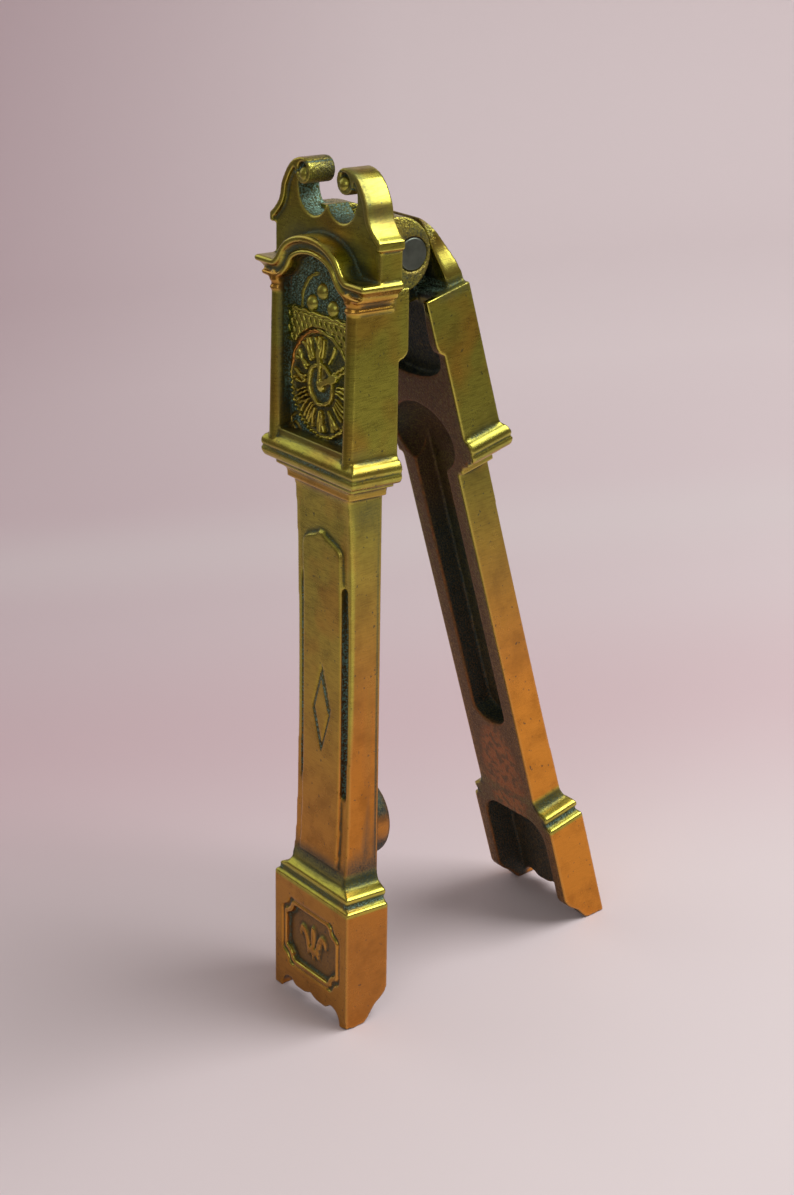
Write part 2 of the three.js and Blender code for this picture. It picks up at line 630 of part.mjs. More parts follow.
// Line of a lozenge on the door
function lozenge() {
  const middle = (TRUNK_TOP - DOOR_HEAD_GAP - DOOR_HEAD_HEIGHT + TRUNK_FOOT + DOOR_FOOT_GAP) / 2;
  const diamond = (half, low, high) => {
    const tall = (half * LOZENGE_HEIGHT) / LOZENGE_WIDTH;
    const corners = [[0, middle - tall], [half, middle], [0, middle + tall], [-half, middle]];
    return alongY(outline(corners), low, high);
  };
  const floor = FRONT_TRUNK - FRONT_TRUNK_DISH + DOOR_PROUD - LOZENGE_DEPTH;
  return diamond(LOZENGE_WIDTH / 2, floor, FRONT_TRUNK + PAST)
    .subtract(diamond(LOZENGE_WIDTH / 2 - LOZENGE_LINE, floor - BED, FRONT_TRUNK + 2 * PAST));
}

// Stopped grooves that part the door from the trunk's corners
function trunkGrooves() {
  const top = TRUNK_TOP - GROOVE_TOP_GAP;
  const foot = top - GROOVE_LENGTH;
  const floor = FRONT_TRUNK - FRONT_TRUNK_DISH - GROOVE_DEPTH;
  const centre = (DOOR_WIDTH + GROOVE_WIDTH) / 2;
  return [-centre, centre].map((x) => boxY(GROOVE_WIDTH / 2, top, foot, floor, FRONT_TRUNK + PAST, x));
}

// Rectangle with indented corners, about the middle of the plinth's front
function panelShape(grow) {
  const middle = PLINTH_TOP - PANEL_DROP;
  const halfWidth = PANEL_WIDTH / 2 + grow;
  const halfHeight = PANEL_HEIGHT / 2 + grow;
  const notch = PANEL_NOTCH;
  const upper = [
    [halfWidth - notch, middle + halfHeight],
    ...arc(halfWidth, middle + halfHeight, notch * 0.8, notch * 0.8, 190, 260, 4),
    [halfWidth, middle + halfHeight - notch],
  ];
  return mirrored([...upper, ...upper.map(([x, z]) => [x, 2 * middle - z]).reverse()]);
}

function framedPanel() {
  const outside = FRONT_PLINTH + PAST;
  const line = alongY(panelShape(FRAME_MARGIN), FRONT_PLINTH - FRAME_DEPTH, outside)
    .subtract(alongY(panelShape(FRAME_MARGIN - FRAME_LINE), 0, outside + PAST));
  return [alongY(panelShape(0), FRONT_PLINTH - PANEL_DEPTH, outside), line];
}

// Traditional lily: one upright petal, two that curl outwards, and the band that ties them
function lily() {
  const foot = PLINTH_TOP - PANEL_DROP - LILY_HEIGHT / 2;
  const at = (x, z) => [x * LILY_HEIGHT, foot + z * LILY_HEIGHT];
  const upright = mirrored([
    ...bezier(at(0, 1), at(0.05, 0.94), at(0.1, 0.86), at(0.095, 0.68), 4),
    ...bezier(at(0.095, 0.68), at(0.09, 0.56), at(0.07, 0.5), at(0.06, 0.36), 4).slice(1),
    at(0.06, 0.2),
    at(0, 0),
  ].slice(1));
  const curl = [
    ...bezier(at(0.1, 0.3), at(0.16, 0.52), at(0.24, 0.86), at(0.43, 0.86), 5),
    ...bezier(at(0.43, 0.86), at(0.58, 0.85), at(0.62, 0.62), at(0.54, 0.5), 5).slice(1),
    ...bezier(at(0.54, 0.5), at(0.5, 0.6), at(0.47, 0.68), at(0.42, 0.66), 4).slice(1),
    ...bezier(at(0.42, 0.66), at(0.34, 0.62), at(0.28, 0.36), at(0.24, 0.1), 4).slice(1),
    ...bezier(at(0.24, 0.1), at(0.18, 0.16), at(0.13, 0.18), at(0.1, 0.2), 3).slice(1),
  ].reverse();
  const floor = FRONT_PLINTH - PANEL_DEPTH;
  const raised = (shape) => alongY(shape, floor - BED, floor + LILY_RELIEF);
  const mirroredCurl = curl.map(([x, z]) => [-x, z]).reverse();
  const [bandHalf, bandTop] = at(0.2, 0.36);
  const [, bandFoot] = at(0.2, 0.24);
  const band = boxY(bandHalf, bandTop, bandFoot, floor - BED, floor + LILY_RELIEF * 1.2);
  return [raised(upright), raised(outline(curl)), raised(outline(mirroredCurl)), band];
}

// Two ears that carry the pin, joined to the back of the pediment
function ears() {
  const neckFoot = HOOD_TOP - BED;
  const neckFace = PLATE_BACK + BED;
  return [-1, 1].flatMap((sign) => {
    const low = sign > 0 ? EAR_INNER : -HINGE_HALF;
    const high = low + HINGE_HALF - EAR_INNER;
    const neck = alongX(outline([
      [EAR_FORWARD, neckFoot], [neckFace, neckFoot], [neckFace, EAR_RADIUS], [EAR_FORWARD, EAR_RADIUS],
    ]), low, high);
    return [roundX(EAR_RADIUS, low, high, EAR_FORWARD, 0), neck];
  });
}

// Round stop on the front arm's inner side, which meets the back arm's web when the arms close
function stopBoss() {
  const face = CLOSED_GAP - BACK_INNER;
  const profile = [
    [0, face],
    ...arc(BOSS_RADIUS - BOSS_EDGE, face + BOSS_EDGE, BOSS_EDGE, BOSS_EDGE, -90, 0, 4),
    [BOSS_RADIUS, FRONT_INNER + BED],
    [0, FRONT_INNER + BED],
  ].map(([r, y]) => new THREE.Vector2(r, y));
  const boss = new THREE.LatheGeometry(profile, 36);
  boss.translate(0, 0, PLINTH_TOP + BOSS_RISE);
  return solid(boss);
}

function frontArm() {
  let body = armBlank({
    cheek: FRONT_CHEEK, inner: FRONT_INNER, trunk: FRONT_TRUNK, dish: FRONT_TRUNK_DISH, plinth: FRONT_PLINTH,
    hoodTop: FRONT_HOOD_TOP - COLUMN_SETBACK, hoodFoot: FRONT_HOOD_FOOT - COLUMN_SETBACK,
    torusProud: FRONT_TORUS_PROUD, hoodTopLevel: HOOD_TOP, soleMiddle: FRONT_SOLE_MIDDLE, lean: FRONT_LEAN,
  });
  const sill = HOOD_FOOT + DIAL_SILL;
  for (const piece of capital()) body = body.add(piece);
  body = body.subtract(boxY(RECESS_HALF, PAST, sill, DIAL_FACE, FRONT_HOOD_FOOT + PAST));
  const joined = [cornice(), tympanum(), pediment(), ...columns(), ...dial(), door(), ...ears(), stopBoss()];
  for (const piece of joined) body = body.add(piece);
  const cut = [lozenge(), ...trunkGrooves(), ...framedPanel(),
    roundX(TONGUE_RADIUS + SIDE_GAP, -EAR_INNER, EAR_INNER),
    roundX(BORE_RADIUS, -HINGE_WIDTH, HINGE_WIDTH)];
  for (const piece of cut) body = body.subtract(piece);
  for (const piece of lily()) body = body.add(piece);
  return body;
}

// The back arm's frame lies BACK_DROP below the pin, so its hinge is that much above its origin
function backArm() {
  const hinge = BACK_DROP;
  const ledge = -BACK_HOOD_TOP_DROP;
  let body = armBlank({
    cheek: BACK_CHEEK, inner: BACK_INNER, trunk: BACK_TRUNK, dish: BACK_TRUNK_DISH, plinth: BACK_PLINTH,
    hoodTop: BACK_HOOD, hoodFoot: BACK_HOOD, torusProud: BACK_TORUS_PROUD,
    hoodTopLevel: ledge, soleMiddle: BACK_SOLE_MIDDLE, lean: BACK_LEAN,
  });
  const bed = ledge - 2 * BED;
  const at = (share, rise) => [
    THREE.MathUtils.lerp(BACK_HOOD, WALL_FACE + WALL_CREST, share),
    THREE.MathUtils.lerp(ledge + BED, hinge + WALL_TOP, rise),
  ];
  const wall = outline([
    [WALL_FACE, bed],
    [BACK_HOOD, bed],
    ...bezier(at(0, 0), at(0.1, 0.45), at(0.48, 0.78), at(1, 1), 8),
    [WALL_FACE, hinge + WALL_TOP],
  ]);
  const tongueHalf = TONGUE_WIDTH / 2;
  const webFace = WALL_FACE + BED;
  const webTop = hinge + TONGUE_WEB_TOP;
  const web = outline([[0, bed], [webFace, bed], [webFace, webTop], [0, webTop]]);
  const crown = hinge + WALL_TOP - WALL_CORNER;
  const wallFront = mirrored([
    ...arc(HINGE_HALF - WALL_CORNER, crown, WALL_CORNER, WALL_CORNER, 90, 0, 6), [HINGE_HALF, bed],
  ]);
  body = body
    .add(alongX(wall, -HINGE_HALF, HINGE_HALF).intersect(alongY(wallFront, 0, BACK_HOOD + PAST)))
    .add(roundX(TONGUE_RADIUS, -tongueHalf, tongueHalf, 0, hinge))
    .add(alongX(web, -tongueHalf, tongueHalf));
  return body.subtract(roundX(BORE_RADIUS, -HINGE_WIDTH, HINGE_WIDTH, 0, hinge));
}

// Plain steel pin, its ends flush with the ears
function hingePin() {
  const profile = [
    [0, -HINGE_HALF], [PIN_RADIUS - PIN_CHAMFER, -HINGE_HALF], [PIN_RADIUS, PIN_CHAMFER - HINGE_HALF],
    [PIN_RADIUS, HINGE_HALF - PIN_CHAMFER], [PIN_RADIUS - PIN_CHAMFER, HINGE_HALF], [0, HINGE_HALF],
  ].map(([r, x]) => new THREE.Vector2(r, x));
  const pin = new THREE.LatheGeometry(profile, ROUND);
  return pin.rotateZ(-Math.PI / 2);
}

// A solid's surface as flat-shaded triangles
function surface(body) {
  const { vertProperties, triVerts, numProp } = body.asOriginal().simplify(SHORTEST_EDGE).getMesh();
  const geometry = new THREE.BufferGeometry();
  geometry.setAttribute('position', new THREE.BufferAttribute(Float32Array.from(vertProperties), numProp));
  geometry.setIndex(new THREE.BufferAttribute(Uint32Array.from(triVerts), 1));
  return geometry;
}

function named(name, geometry, material) {
  const mesh = new THREE.Mesh(geometry, material);
  mesh.name = name;
  return mesh;
}

const brass = () => new THREE.MeshStandardMaterial({ color: 0x9c7a24, roughness: 0.32, metalness: 1 });
const steel = new THREE.MeshStandardMaterial({ color: 0x4c4e50, roughness: 0.45, metalness: 1 });

// Both arms hang from the pin and lean until their soles share the floor
const front = new THREE.Group();
const frontCasting = named('front_arm', surface(frontArm()), brass());
frontCasting.rotation.z = Math.PI;
front.add(frontCasting, named('hinge_pin', hingePin(), steel));
front.rotation.x = -FRONT_LEAN;

const back = new THREE.Group();
const backCasting = named('back_arm', surface(backArm()), brass());
backCasting.position.z = -BACK_DROP;
back.add(backCasting);
back.rotation.x = BACK_LEAN;

const nutcracker = new THREE.Group();
nutcracker.add(front, back);
nutcracker.position.z = ARM_LENGTH * Math.cos(FRONT_LEAN) - FRONT_SOLE_MIDDLE * Math.sin(FRONT_LEAN);
nutcracker.updateMatrixWorld(true);
const box = new THREE.Box3().setFromObject(nutcracker, true);
nutcracker.position.y = -(box.min.y + box.max.y) / 2;

export default nutcracker;
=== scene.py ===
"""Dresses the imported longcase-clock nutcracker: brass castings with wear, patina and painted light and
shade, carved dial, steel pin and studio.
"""

from __future__ import annotations

import json
import logging
import math
from dataclasses import dataclass, field, replace
from enum import Enum

import bpy
import numpy as np
from mathutils import Matrix

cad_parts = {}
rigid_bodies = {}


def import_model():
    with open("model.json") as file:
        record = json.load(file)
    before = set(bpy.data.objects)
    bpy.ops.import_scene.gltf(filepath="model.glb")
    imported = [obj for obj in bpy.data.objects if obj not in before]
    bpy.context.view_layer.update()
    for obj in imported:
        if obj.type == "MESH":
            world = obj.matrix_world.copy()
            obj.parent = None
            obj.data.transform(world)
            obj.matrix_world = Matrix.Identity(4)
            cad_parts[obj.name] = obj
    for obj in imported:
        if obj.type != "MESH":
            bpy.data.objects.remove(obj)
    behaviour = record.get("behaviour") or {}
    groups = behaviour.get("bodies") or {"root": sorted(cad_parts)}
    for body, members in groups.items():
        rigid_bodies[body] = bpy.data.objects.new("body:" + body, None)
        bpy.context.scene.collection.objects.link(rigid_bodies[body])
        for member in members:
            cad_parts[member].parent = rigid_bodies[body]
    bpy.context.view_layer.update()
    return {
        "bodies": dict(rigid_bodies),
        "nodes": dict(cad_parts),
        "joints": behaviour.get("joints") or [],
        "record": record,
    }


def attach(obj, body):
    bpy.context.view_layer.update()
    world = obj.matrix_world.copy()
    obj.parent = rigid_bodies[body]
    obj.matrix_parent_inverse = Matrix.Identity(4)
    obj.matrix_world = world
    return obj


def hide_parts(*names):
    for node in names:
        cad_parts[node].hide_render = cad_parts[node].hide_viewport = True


LOG = logging.getLogger("nutcracker")
MM = 0.001
PHOTO_HEIGHT = 1195
SIDES = (-1.0, 1.0)
CAD_WELD = 0.002
SEAM_WELD = 1e-4
Triple = tuple[float, float, float]
Array = np.ndarray
Material = bpy.types.Material
Mesh = bpy.types.Mesh
Object = bpy.types.Object
Socket = bpy.types.NodeSocket


class Body(Enum):
    """Moving bodies of the nutcracker."""

    FRONT = "front"
    BACK = "back"


class Slot(Enum):
    """Material slots of the record."""

    FRONT_BRASS = "cast_brass_front"
    BACK_BRASS = "cast_brass_back"
    STEEL = "pin_steel"


class Mark(Enum):
    """Attributes that the castings carry for their finish, each from 0 to 1."""

    HOLLOW = "hollow"
    # Wear on the edges, and painted highlights at set places.
    WORN = "worn"
    # Dark film: patina, and painted shade inside the arms, in broad hollows and at set places.
    TARNISH = "tarnish"
    GRAIN = "grain"
    COPPER = "copper"
    # Orange: partly the metal's own tone, partly painted reflection of the warm floor.
    TONED = "toned"


HOLLOW, WORN, TARNISH, GRAIN, COPPER, TONED = Mark


def linear(code: str) -> tuple[float, float, float, float]:
    """Turns an sRGB hex colour into linear values.

    Args:
        code: Colour as six hex digits.

    Returns:
        Linear red, green and blue, and an alpha of 1.
    """
    channels = [int(code[i:i + 2], 16) / 255 for i in (0, 2, 4)]
    red, green, blue = (c / 12.92 if c <= 0.04045 else ((c + 0.055) / 1.055) ** 2.4 for c in channels)
    return red, green, blue, 1.0


def smoothstep(low: float, high: float, value: Array) -> Array:
    """Rises from 0 at low to 1 at high along 3t^2 - 2t^3; low may be above high for a fall."""
    share = np.clip((value - low) / (high - low), 0.0, 1.0)
    return share * share * (3.0 - 2.0 * share)


def stroke(u: Array, v: Array, start: tuple[float, float], end: tuple[float, float]) -> Array:
    """Distance of each point of a plane from a straight stroke between two points.

    Args:
        u: First coordinates.
        v: Second coordinates.
        start: One end of the stroke.
        end: Its other end.

    Returns:
        Distances, of the same shape as u.
    """
    along = (end[0] - start[0], end[1] - start[1])
    length = along[0] ** 2 + along[1] ** 2
    share = np.clip(((u - start[0]) * along[0] + (v - start[1]) * along[1]) / length, 0.0, 1.0)
    return np.hypot(u - start[0] - share * along[0], v - start[1] - share * along[1])


def unit(vector: Array | Triple) -> Array:
    """Gives the direction of a vector, of length 1."""
    return np.array(vector) / np.linalg.norm(vector)


def posed(axes: list[Array], place: Array | Triple) -> Matrix:
    """Matrix of a frame from its axes and its origin.

    Args:
        axes: Directions of its X, Y and Z.
        place: Its origin.

    Returns:
        The matrix.
    """
    turned = np.eye(4)
    turned[:3, :3] = np.stack(axes, axis=1)
    turned[:3, 3] = place
    return Matrix(turned.tolist())


def add_node(tree: bpy.types.NodeTree, kind: str, inputs: dict | None = None,
             **settings: object) -> bpy.types.Node:
    """Adds a node with its settings, values and links.

    Args:
        tree: Node tree that takes the node.
        kind: Blender's type name of the node.
        inputs: Socket name or index to a value, or to an output socket to link from.
        settings: Properties of the node.

    Returns:
        The new node.
    """
    node = tree.nodes.new(kind)
    for name, value in settings.items():
        setattr(node, name, value)
    for key, value in (inputs or {}).items():
        if isinstance(value, Socket):
            tree.links.new(value, node.inputs[key])
        else:
            node.inputs[key].default_value = value
    return node


def linked(name: str, data: bpy.types.ID) -> Object:
    """Makes an object from its data and links it into the scene.

    Args:
        name: Name of the object.
        data: Mesh, camera or lamp.

    Returns:
        The object, at the origin.
    """
    thing = bpy.data.objects.new(name, data)
    bpy.context.scene.collection.objects.link(thing)
    return thing


def new_piece(name: str, points: Array, faces: list) -> Object:
    """Makes a smooth-shaded object from points and faces.

    Args:
        name: Name of the piece.
        points: Points, three to a row.
        faces: Faces as lists of point indices.

    Returns:
        The object, linked into the scene.
    """
    mesh = bpy.data.meshes.new(name)
    mesh.from_pydata(points.tolist(), [], faces)
    mesh.update()
    mesh.polygons.foreach_set("use_smooth", np.ones(len(mesh.polygons), bool))
    return linked(name, mesh)


def grid_faces(rows: int, columns: int) -> Array:
    """Quads between neighbouring points of a grid stored row by row.

    Args:
        rows: Rows of points.
        columns: Points in a row.

    Returns:
        Point indices, four to a quad.
    """
    index = np.arange(rows * columns).reshape(rows, columns)
    corners = (index[:-1, :-1], index[:-1, 1:], index[1:, 1:], index[1:, :-1])
    return np.stack([c.ravel() for c in corners], axis=1)


def read_vectors(vertices: bpy.types.MeshVertices, name: str) -> Array:
    """Reads one vector of each vertex.

    Args:
        vertices: Vertices of a mesh.
        name: Name of the vector.

    Returns:
        Vectors, three to a row.
    """
    values = np.empty(len(vertices) * 3, np.float32)
    vertices.foreach_get(name, values)
    return values.reshape(-1, 3).astype(float)


def write_marks(mesh: Mesh, marks: dict[Mark, Array]) -> None:
    """Writes the attributes that the brass reads.

    Args:
        mesh: Mesh that takes them.
        marks: Value of each mark at each vertex.
    """
    for mark, values in marks.items():
        layer = mesh.attributes.new(mark.value, "FLOAT", "POINT")
        layer.data.foreach_set("value", values.astype(np.float32))


def weld(piece: Object, reach: float) -> None:
    """Adds a modifier that joins the points of a piece which lie within a reach of each other."""
    piece.modifiers.new("weld", "WELD").merge_threshold = reach


def apply_modifiers(piece: Object) -> None:
    """Puts the result of a piece's modifiers into its mesh.

    Args:
        piece: The piece.
    """
    graph = bpy.context.evaluated_depsgraph_get()
    result = bpy.data.meshes.new_from_object(piece.evaluated_get(graph))
    piece.modifiers.clear()
    piece.data = result


def seat(piece: Object, world: Matrix, material: Material, body: Body,
         node: str | None = None) -> Object:
    """Moves a piece from an arm's frame into the part's, and gives it its material and body.

    Args:
        piece: The piece, in the arm's millimetres.
        world: Place of the arm's frame.
        material: Its material.
        body: Body that it rides on.
        node: CAD node that it replaces, if any.

    Returns:
        The piece.
    """
    mesh = piece.data
    mesh.transform(world)
    mesh.polygons.foreach_set("use_smooth", np.ones(len(mesh.polygons), bool))
    mesh.materials.clear()
    mesh.materials.append(material)
    if node:
        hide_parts(node)
    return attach(piece, body.value)


@dataclass(frozen=True)
class ArmFrame:
    """An arm's own frame in millimetres: pin along X, Z up along the arm and Y outwards.

    Attributes:
        lean: Degrees from the upright, positive about +X.
        turn: Degrees about Z that face the arm outwards.
        drop: How far the arm's origin lies below the pin.
    """

    lean: float
    turn: float
    drop: float

    def to_world(self, frame: dict) -> Matrix:
        """Place of the frame in the part's frame, in metres.

        Args:
            frame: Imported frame, whose first joint is the hinge.

        Returns:
            Matrix from the arm's millimetres to the part's metres.
        """
        lean = Matrix.Rotation(math.radians(self.lean), 4, "X")
        turn = Matrix.Rotation(math.radians(self.turn), 4, "Z")
        lower = Matrix.Translation((0.0, 0.0, -self.drop * MM))
        hinge = Matrix.Translation(frame["joints"][0]["pos_m"])
        return hinge @ lean @ lower @ turn @ Matrix.Scale(MM, 4)


FRONT_FRAME = ArmFrame(lean=-6.400086, turn=180.0, drop=0.0)
BACK_FRAME = ArmFrame(lean=9.899914, turn=0.0, drop=0.9)


@dataclass
class Neighbours:
    """Who is joined to whom on a mesh, for averages over neighbours.

    Attributes:
        edges: Point indices, two to an edge.
        count: Number of points.
    """

    edges: Array
    count: int
    source: Array = field(init=False)
    target: Array = field(init=False)
    degree: Array = field(init=False)

    def __post_init__(self) -> None:
        """Lists each edge both ways and counts each point's neighbours."""
        self.source = np.concatenate([self.edges[:, 0], self.edges[:, 1]])
        self.target = np.concatenate([self.edges[:, 1], self.edges[:, 0]])
        self.degree = np.maximum(np.bincount(self.source, minlength=self.count), 1)

    def relaxed(self, points: Array, rounds: int) -> Array:
        """Moves each point half the way to its neighbours' mean, some rounds over.

        Args:
            points: Points, three to a row.
            rounds: Number of rounds.

        Returns:
            The moved points.
        """
        moved = points
        for _ in range(rounds):
            sums = [np.bincount(self.source, moved[self.target, axis], self.count) for axis in range(3)]
            moved = moved + 0.5 * (np.stack(sums, axis=1) / self.degree[:, None] - moved)
        return moved


@dataclass
class Shader:
    """A new material with an empty node tree, and the operations that the finishes are made of.

    Attributes:
        name: Name of the material.
        material: The material.
        tree: Its node tree.
        place: Object coordinates in metres.
    """

    name: str
    material: Material = field(init=False)
    tree: bpy.types.NodeTree = field(init=False)
    place: Socket = field(init=False)

    def __post_init__(self) -> None:
        """Makes the material and its coordinates."""
        self.material = bpy.data.materials.new(self.name)
        self.material.use_nodes = True
        self.tree = self.material.node_tree
        self.tree.nodes.clear()
        self.place = add_node(self.tree, "ShaderNodeTexCoord").outputs["Object"]

    def mark(self, mark: Mark) -> Socket:
        """Reads one of the castings' attributes."""
        return add_node(self.tree, "ShaderNodeAttribute", attribute_name=mark.value).outputs["Fac"]

    def noise(self, size: float, detail: float, roughness: float = 0.6) -> Socket:
        """Noise around 0.5, its largest grains of a size in millimetres."""
        return self._grain(self.place, 1.0 / (size * MM), detail, roughness)

    def streaks(self, turn: Triple, sizes: Triple, detail: float, roughness: float = 0.6) -> Socket:
        """Noise around 0.5 that is drawn out along turned axes.

        Args:
            turn: Turn of the axes in radians.
            sizes: Size of its largest grains along each axis, in millimetres.
            detail: Octaves of finer grain.
            roughness: Strength of each octave beside the one before.

        Returns:
            Noise socket.
        """
        scales = [1.0 / (size * MM) for size in sizes]
        lines = add_node(self.tree, "ShaderNodeMapping", {
            "Vector": self.place, "Rotation": turn, "Scale": scales})
        return self._grain(lines.outputs[0], 1.0, detail, roughness)

    def _grain(self, place: Socket, scale: float, detail: float, roughness: float) -> Socket:
        """Adds the noise itself."""
        return add_node(self.tree, "ShaderNodeTexNoise", {
            "Vector": place, "Scale": scale, "Detail": detail, "Roughness": roughness}).outputs["Fac"]

    def along(self, way: Triple) -> Socket:
        """Distance along a direction, in metres times the direction's length."""
        return add_node(self.tree, "ShaderNodeVectorMath", {
            0: self.place, 1: way}, operation="DOT_PRODUCT").outputs["Value"]

    def calc(self, operation: str, *values: Socket | float, held: bool = False) -> Socket:
        """Result of one operation on values, held between 0 and 1 if asked."""
        return add_node(self.tree, "ShaderNodeMath", dict(enumerate(values)), operation=operation,
                        use_clamp=held).outputs[0]

    def times(self, value: Socket, share: Socket | float) -> Socket:
        """Product of a value and a share, held between 0 and 1."""
        return self.calc("MULTIPLY", value, share, held=True)

    def span(self, value: Socket, low: float, high: float, first: float, last: float,
             curve: str = "LINEAR") -> Socket:
        """Maps a value from low to high on to first to last, and holds it there."""
        return add_node(self.tree, "ShaderNodeMapRange", {
            "Value": value, "From Min": low, "From Max": high, "To Min": first, "To Max": last},
            interpolation_type=curve).outputs[0]

    def mix(self, share: Socket | float, first: Socket, second: Socket | float) -> Socket:
        """Blends two values by a share of the second."""
        return add_node(self.tree, "ShaderNodeMix", {
            "Factor": share, "A": first, "B": second}).outputs["Result"]

    def blend(self, share: Socket, first: Socket | str, second: Socket | str, way: str = "MIX") -> Socket:
        """Blends two colours, each a socket or a hex code, by a share of the second."""
        ends = [linear(end) if isinstance(end, str) else end for end in (first, second)]
        return add_node(self.tree, "ShaderNodeMix", {"Factor": share, "A": ends[0], "B": ends[1]},
                        data_type="RGBA", blend_type=way).outputs["Result"]

    def bump(self, height: Socket, strength: Socket | float, depth: float, **under: Socket) -> Socket:
        """Tilts the surface, or the normal under it, by a pattern of a depth in millimetres."""
        return add_node(self.tree, "ShaderNodeBump", {
            "Height": height, "Strength": strength, "Distance": depth * MM, **under}).outputs["Normal"]

    def finished(self, inputs: dict) -> Material:
        """Adds the surface with its inputs and gives the material."""
        surface = add_node(self.tree, "ShaderNodeBsdfPrincipled", inputs).outputs["BSDF"]
        add_node(self.tree, "ShaderNodeOutputMaterial", {"Surface": surface})
        return self.material


@dataclass(frozen=True)
class BrassFinish:
    """Cast brass, filed, polished by hand and aged: warm metal with green patina in its recesses, and brown
    that is partly patina and partly painted shade.

    Attributes:
        name: Name of the material.
        upper: Polished metal on the upper half, yellow with a green cast.
        lower: Polished metal lower down, orange: partly its own tone, partly painted reflection of the warm
            floor.
        bare: Metal brightened along the upper edges by wear, and painted highlights at set places.
        bare_low: Metal brightened by wear along the orange edges.
        mottle: Thin brown film that clouds the polish.
        mottle_low: The same film over the orange metal.
        pale_green: Verdigris where it is dusty.
        deep_green: Verdigris where it is thick and damp.
        brown: Black-brown of the inner side, partly patina and partly painted shade; also the dark of pits
            and sand grain.
        earth: Lighter brown on its flat lands.
        copper: Pickled patch where zinc has gone from the skin.
        scratch: Spacing of the polishing scratches in millimetres.
        streak: Their length.
        grit: Grain of the casting sand in millimetres.
        cloud: Size of the clouds in the polish, in millimetres.
        fleck: Size of pits and flecks of verdigris, in millimetres.
    """

    name: str
    upper: str = "b9b54a"
    lower: str = "c48034"
    bare: str = "d4ca5e"
    bare_low: str = "dd9f52"
    mottle: str = "54481c"
    mottle_low: str = "7c4a18"
    pale_green: str = "8db19e"
    deep_green: str = "13221c"
    brown: str = "3a4541"
    earth: str = "6c4f34"
    copper: str = "b56c3c"
    scratch: float = 0.18
    streak: float = 2.0
    grit: float = 0.32
    cloud: float = 4.0
    fleck: float = 0.28

    def material(self) -> Material:
        """Builds the material from the castings' attributes and patterns in millimetres."""
        shader = Shader(self.name)
        marks = {mark: shader.mark(mark) for mark in Mark}
        clouds = shader.noise(self.cloud, 4.0)
        flecks = shader.noise(self.fleck, 3.0)
        scratches = self._scratches(shader)
        colour = self._polish(shader, marks, clouds, scratches)
        speckle = shader.times(marks[GRAIN], shader.span(flecks, 0.47, 0.6, 0.0, 0.6))
        colour = shader.blend(speckle, colour, self.brown)
        # Dark film from the mark: patina, and painted shade inside the arms and in hollows.
        stain = shader.times(marks[TARNISH], shader.span(flecks, 0.36, 0.64, 0.75, 1.15))
        colour = shader.blend(stain, colour, self._film(shader, marks[COPPER]))
        bloom = shader.times(marks[HOLLOW], shader.span(flecks, 0.3, 0.7, 0.7, 1.2))
        dusty = shader.times(shader.span(flecks, 0.43, 0.61, 0.0, 1.0),
                             shader.span(marks[HOLLOW], 0.76, 0.95, 0.12, 1.0))
        dusty = shader.times(dusty, shader.span(marks[COPPER], 0.0, 0.5, 1.0, 0.1))
        colour = shader.blend(bloom, colour, shader.blend(dusty, self.deep_green, self.pale_green))
        dull = shader.calc("MAXIMUM", bloom, stain)
        rough = shader.calc("MAXIMUM", marks[GRAIN], bloom)
        brushed = shader.bump(scratches, shader.span(marks[TONED], 0.0, 1.0, 0.24, 0.1), 0.05)
        return shader.finished({
            "Base Color": colour,
            "Metallic": shader.span(dull, 0.0, 1.0, 1.0, 0.45),
            "Roughness": shader.mix(dull, shader.span(clouds, 0.3, 0.7, 0.2, 0.3), 0.52),
            "Normal": shader.bump(shader.noise(self.grit, 2.0), rough, 0.2, Normal=brushed),
            "Specular IOR Level": shader.span(dull, 0.0, 1.0, 0.5, 0.18),
        })

    def _scratches(self, shader: Shader) -> Socket:
        """Gives the noise of fine polishing lines that cross at a slant."""
        long, close = self.streak, self.scratch
        first = shader.streaks((0.35, 0.5, 0.2), (long, long, close), 3.0)
        second = shader.streaks((-0.5, 0.2, 0.4), (long / 1.4, long / 1.4, close / 0.7), 3.0)
        return shader.mix(0.35, first, second)

    def _film(self, shader: Shader, copper: Socket) -> Socket:
        """Colours the dark film, partly patina and partly painted shade: black-brown, earthy on the lands,
        pickled where there is most copper.

        Args:
            shader: The material.
            copper: Mark of the copper.

        Returns:
            Colour socket.
        """
        film = shader.blend(shader.span(copper, 0.0, 0.5, 0.0, 1.0), self.brown, self.earth)
        grains = shader.noise(4.0 * self.fleck, 4.0)
        pickled = shader.times(shader.span(copper, 0.5, 1.0, 0.0, 1.0),
                               shader.span(grains, 0.43, 0.57, 0.0, 1.0))
        film = shader.blend(pickled, film, self.copper)
        return shader.blend(shader.span(grains, 0.5, 0.7, 0.0, 0.4), film, self.deep_green)

    def _polish(self, shader: Shader, marks: dict[Mark, Socket], clouds: Socket, scratches: Socket) -> Socket:
        """Colours the polished metal: orange by place, partly painted floor reflection; clouded, scratched,
        pitted; bright on its edges.

        Args:
            shader: The material.
            marks: Attributes of the casting.
            clouds: Noise of the clouds.
            scratches: Noise of the scratches.

        Returns:
            Colour socket.
        """
        warm = shader.span(shader.noise(2.4 * self.cloud, 2.0), 0.48, 0.66, 0.0, 0.4)
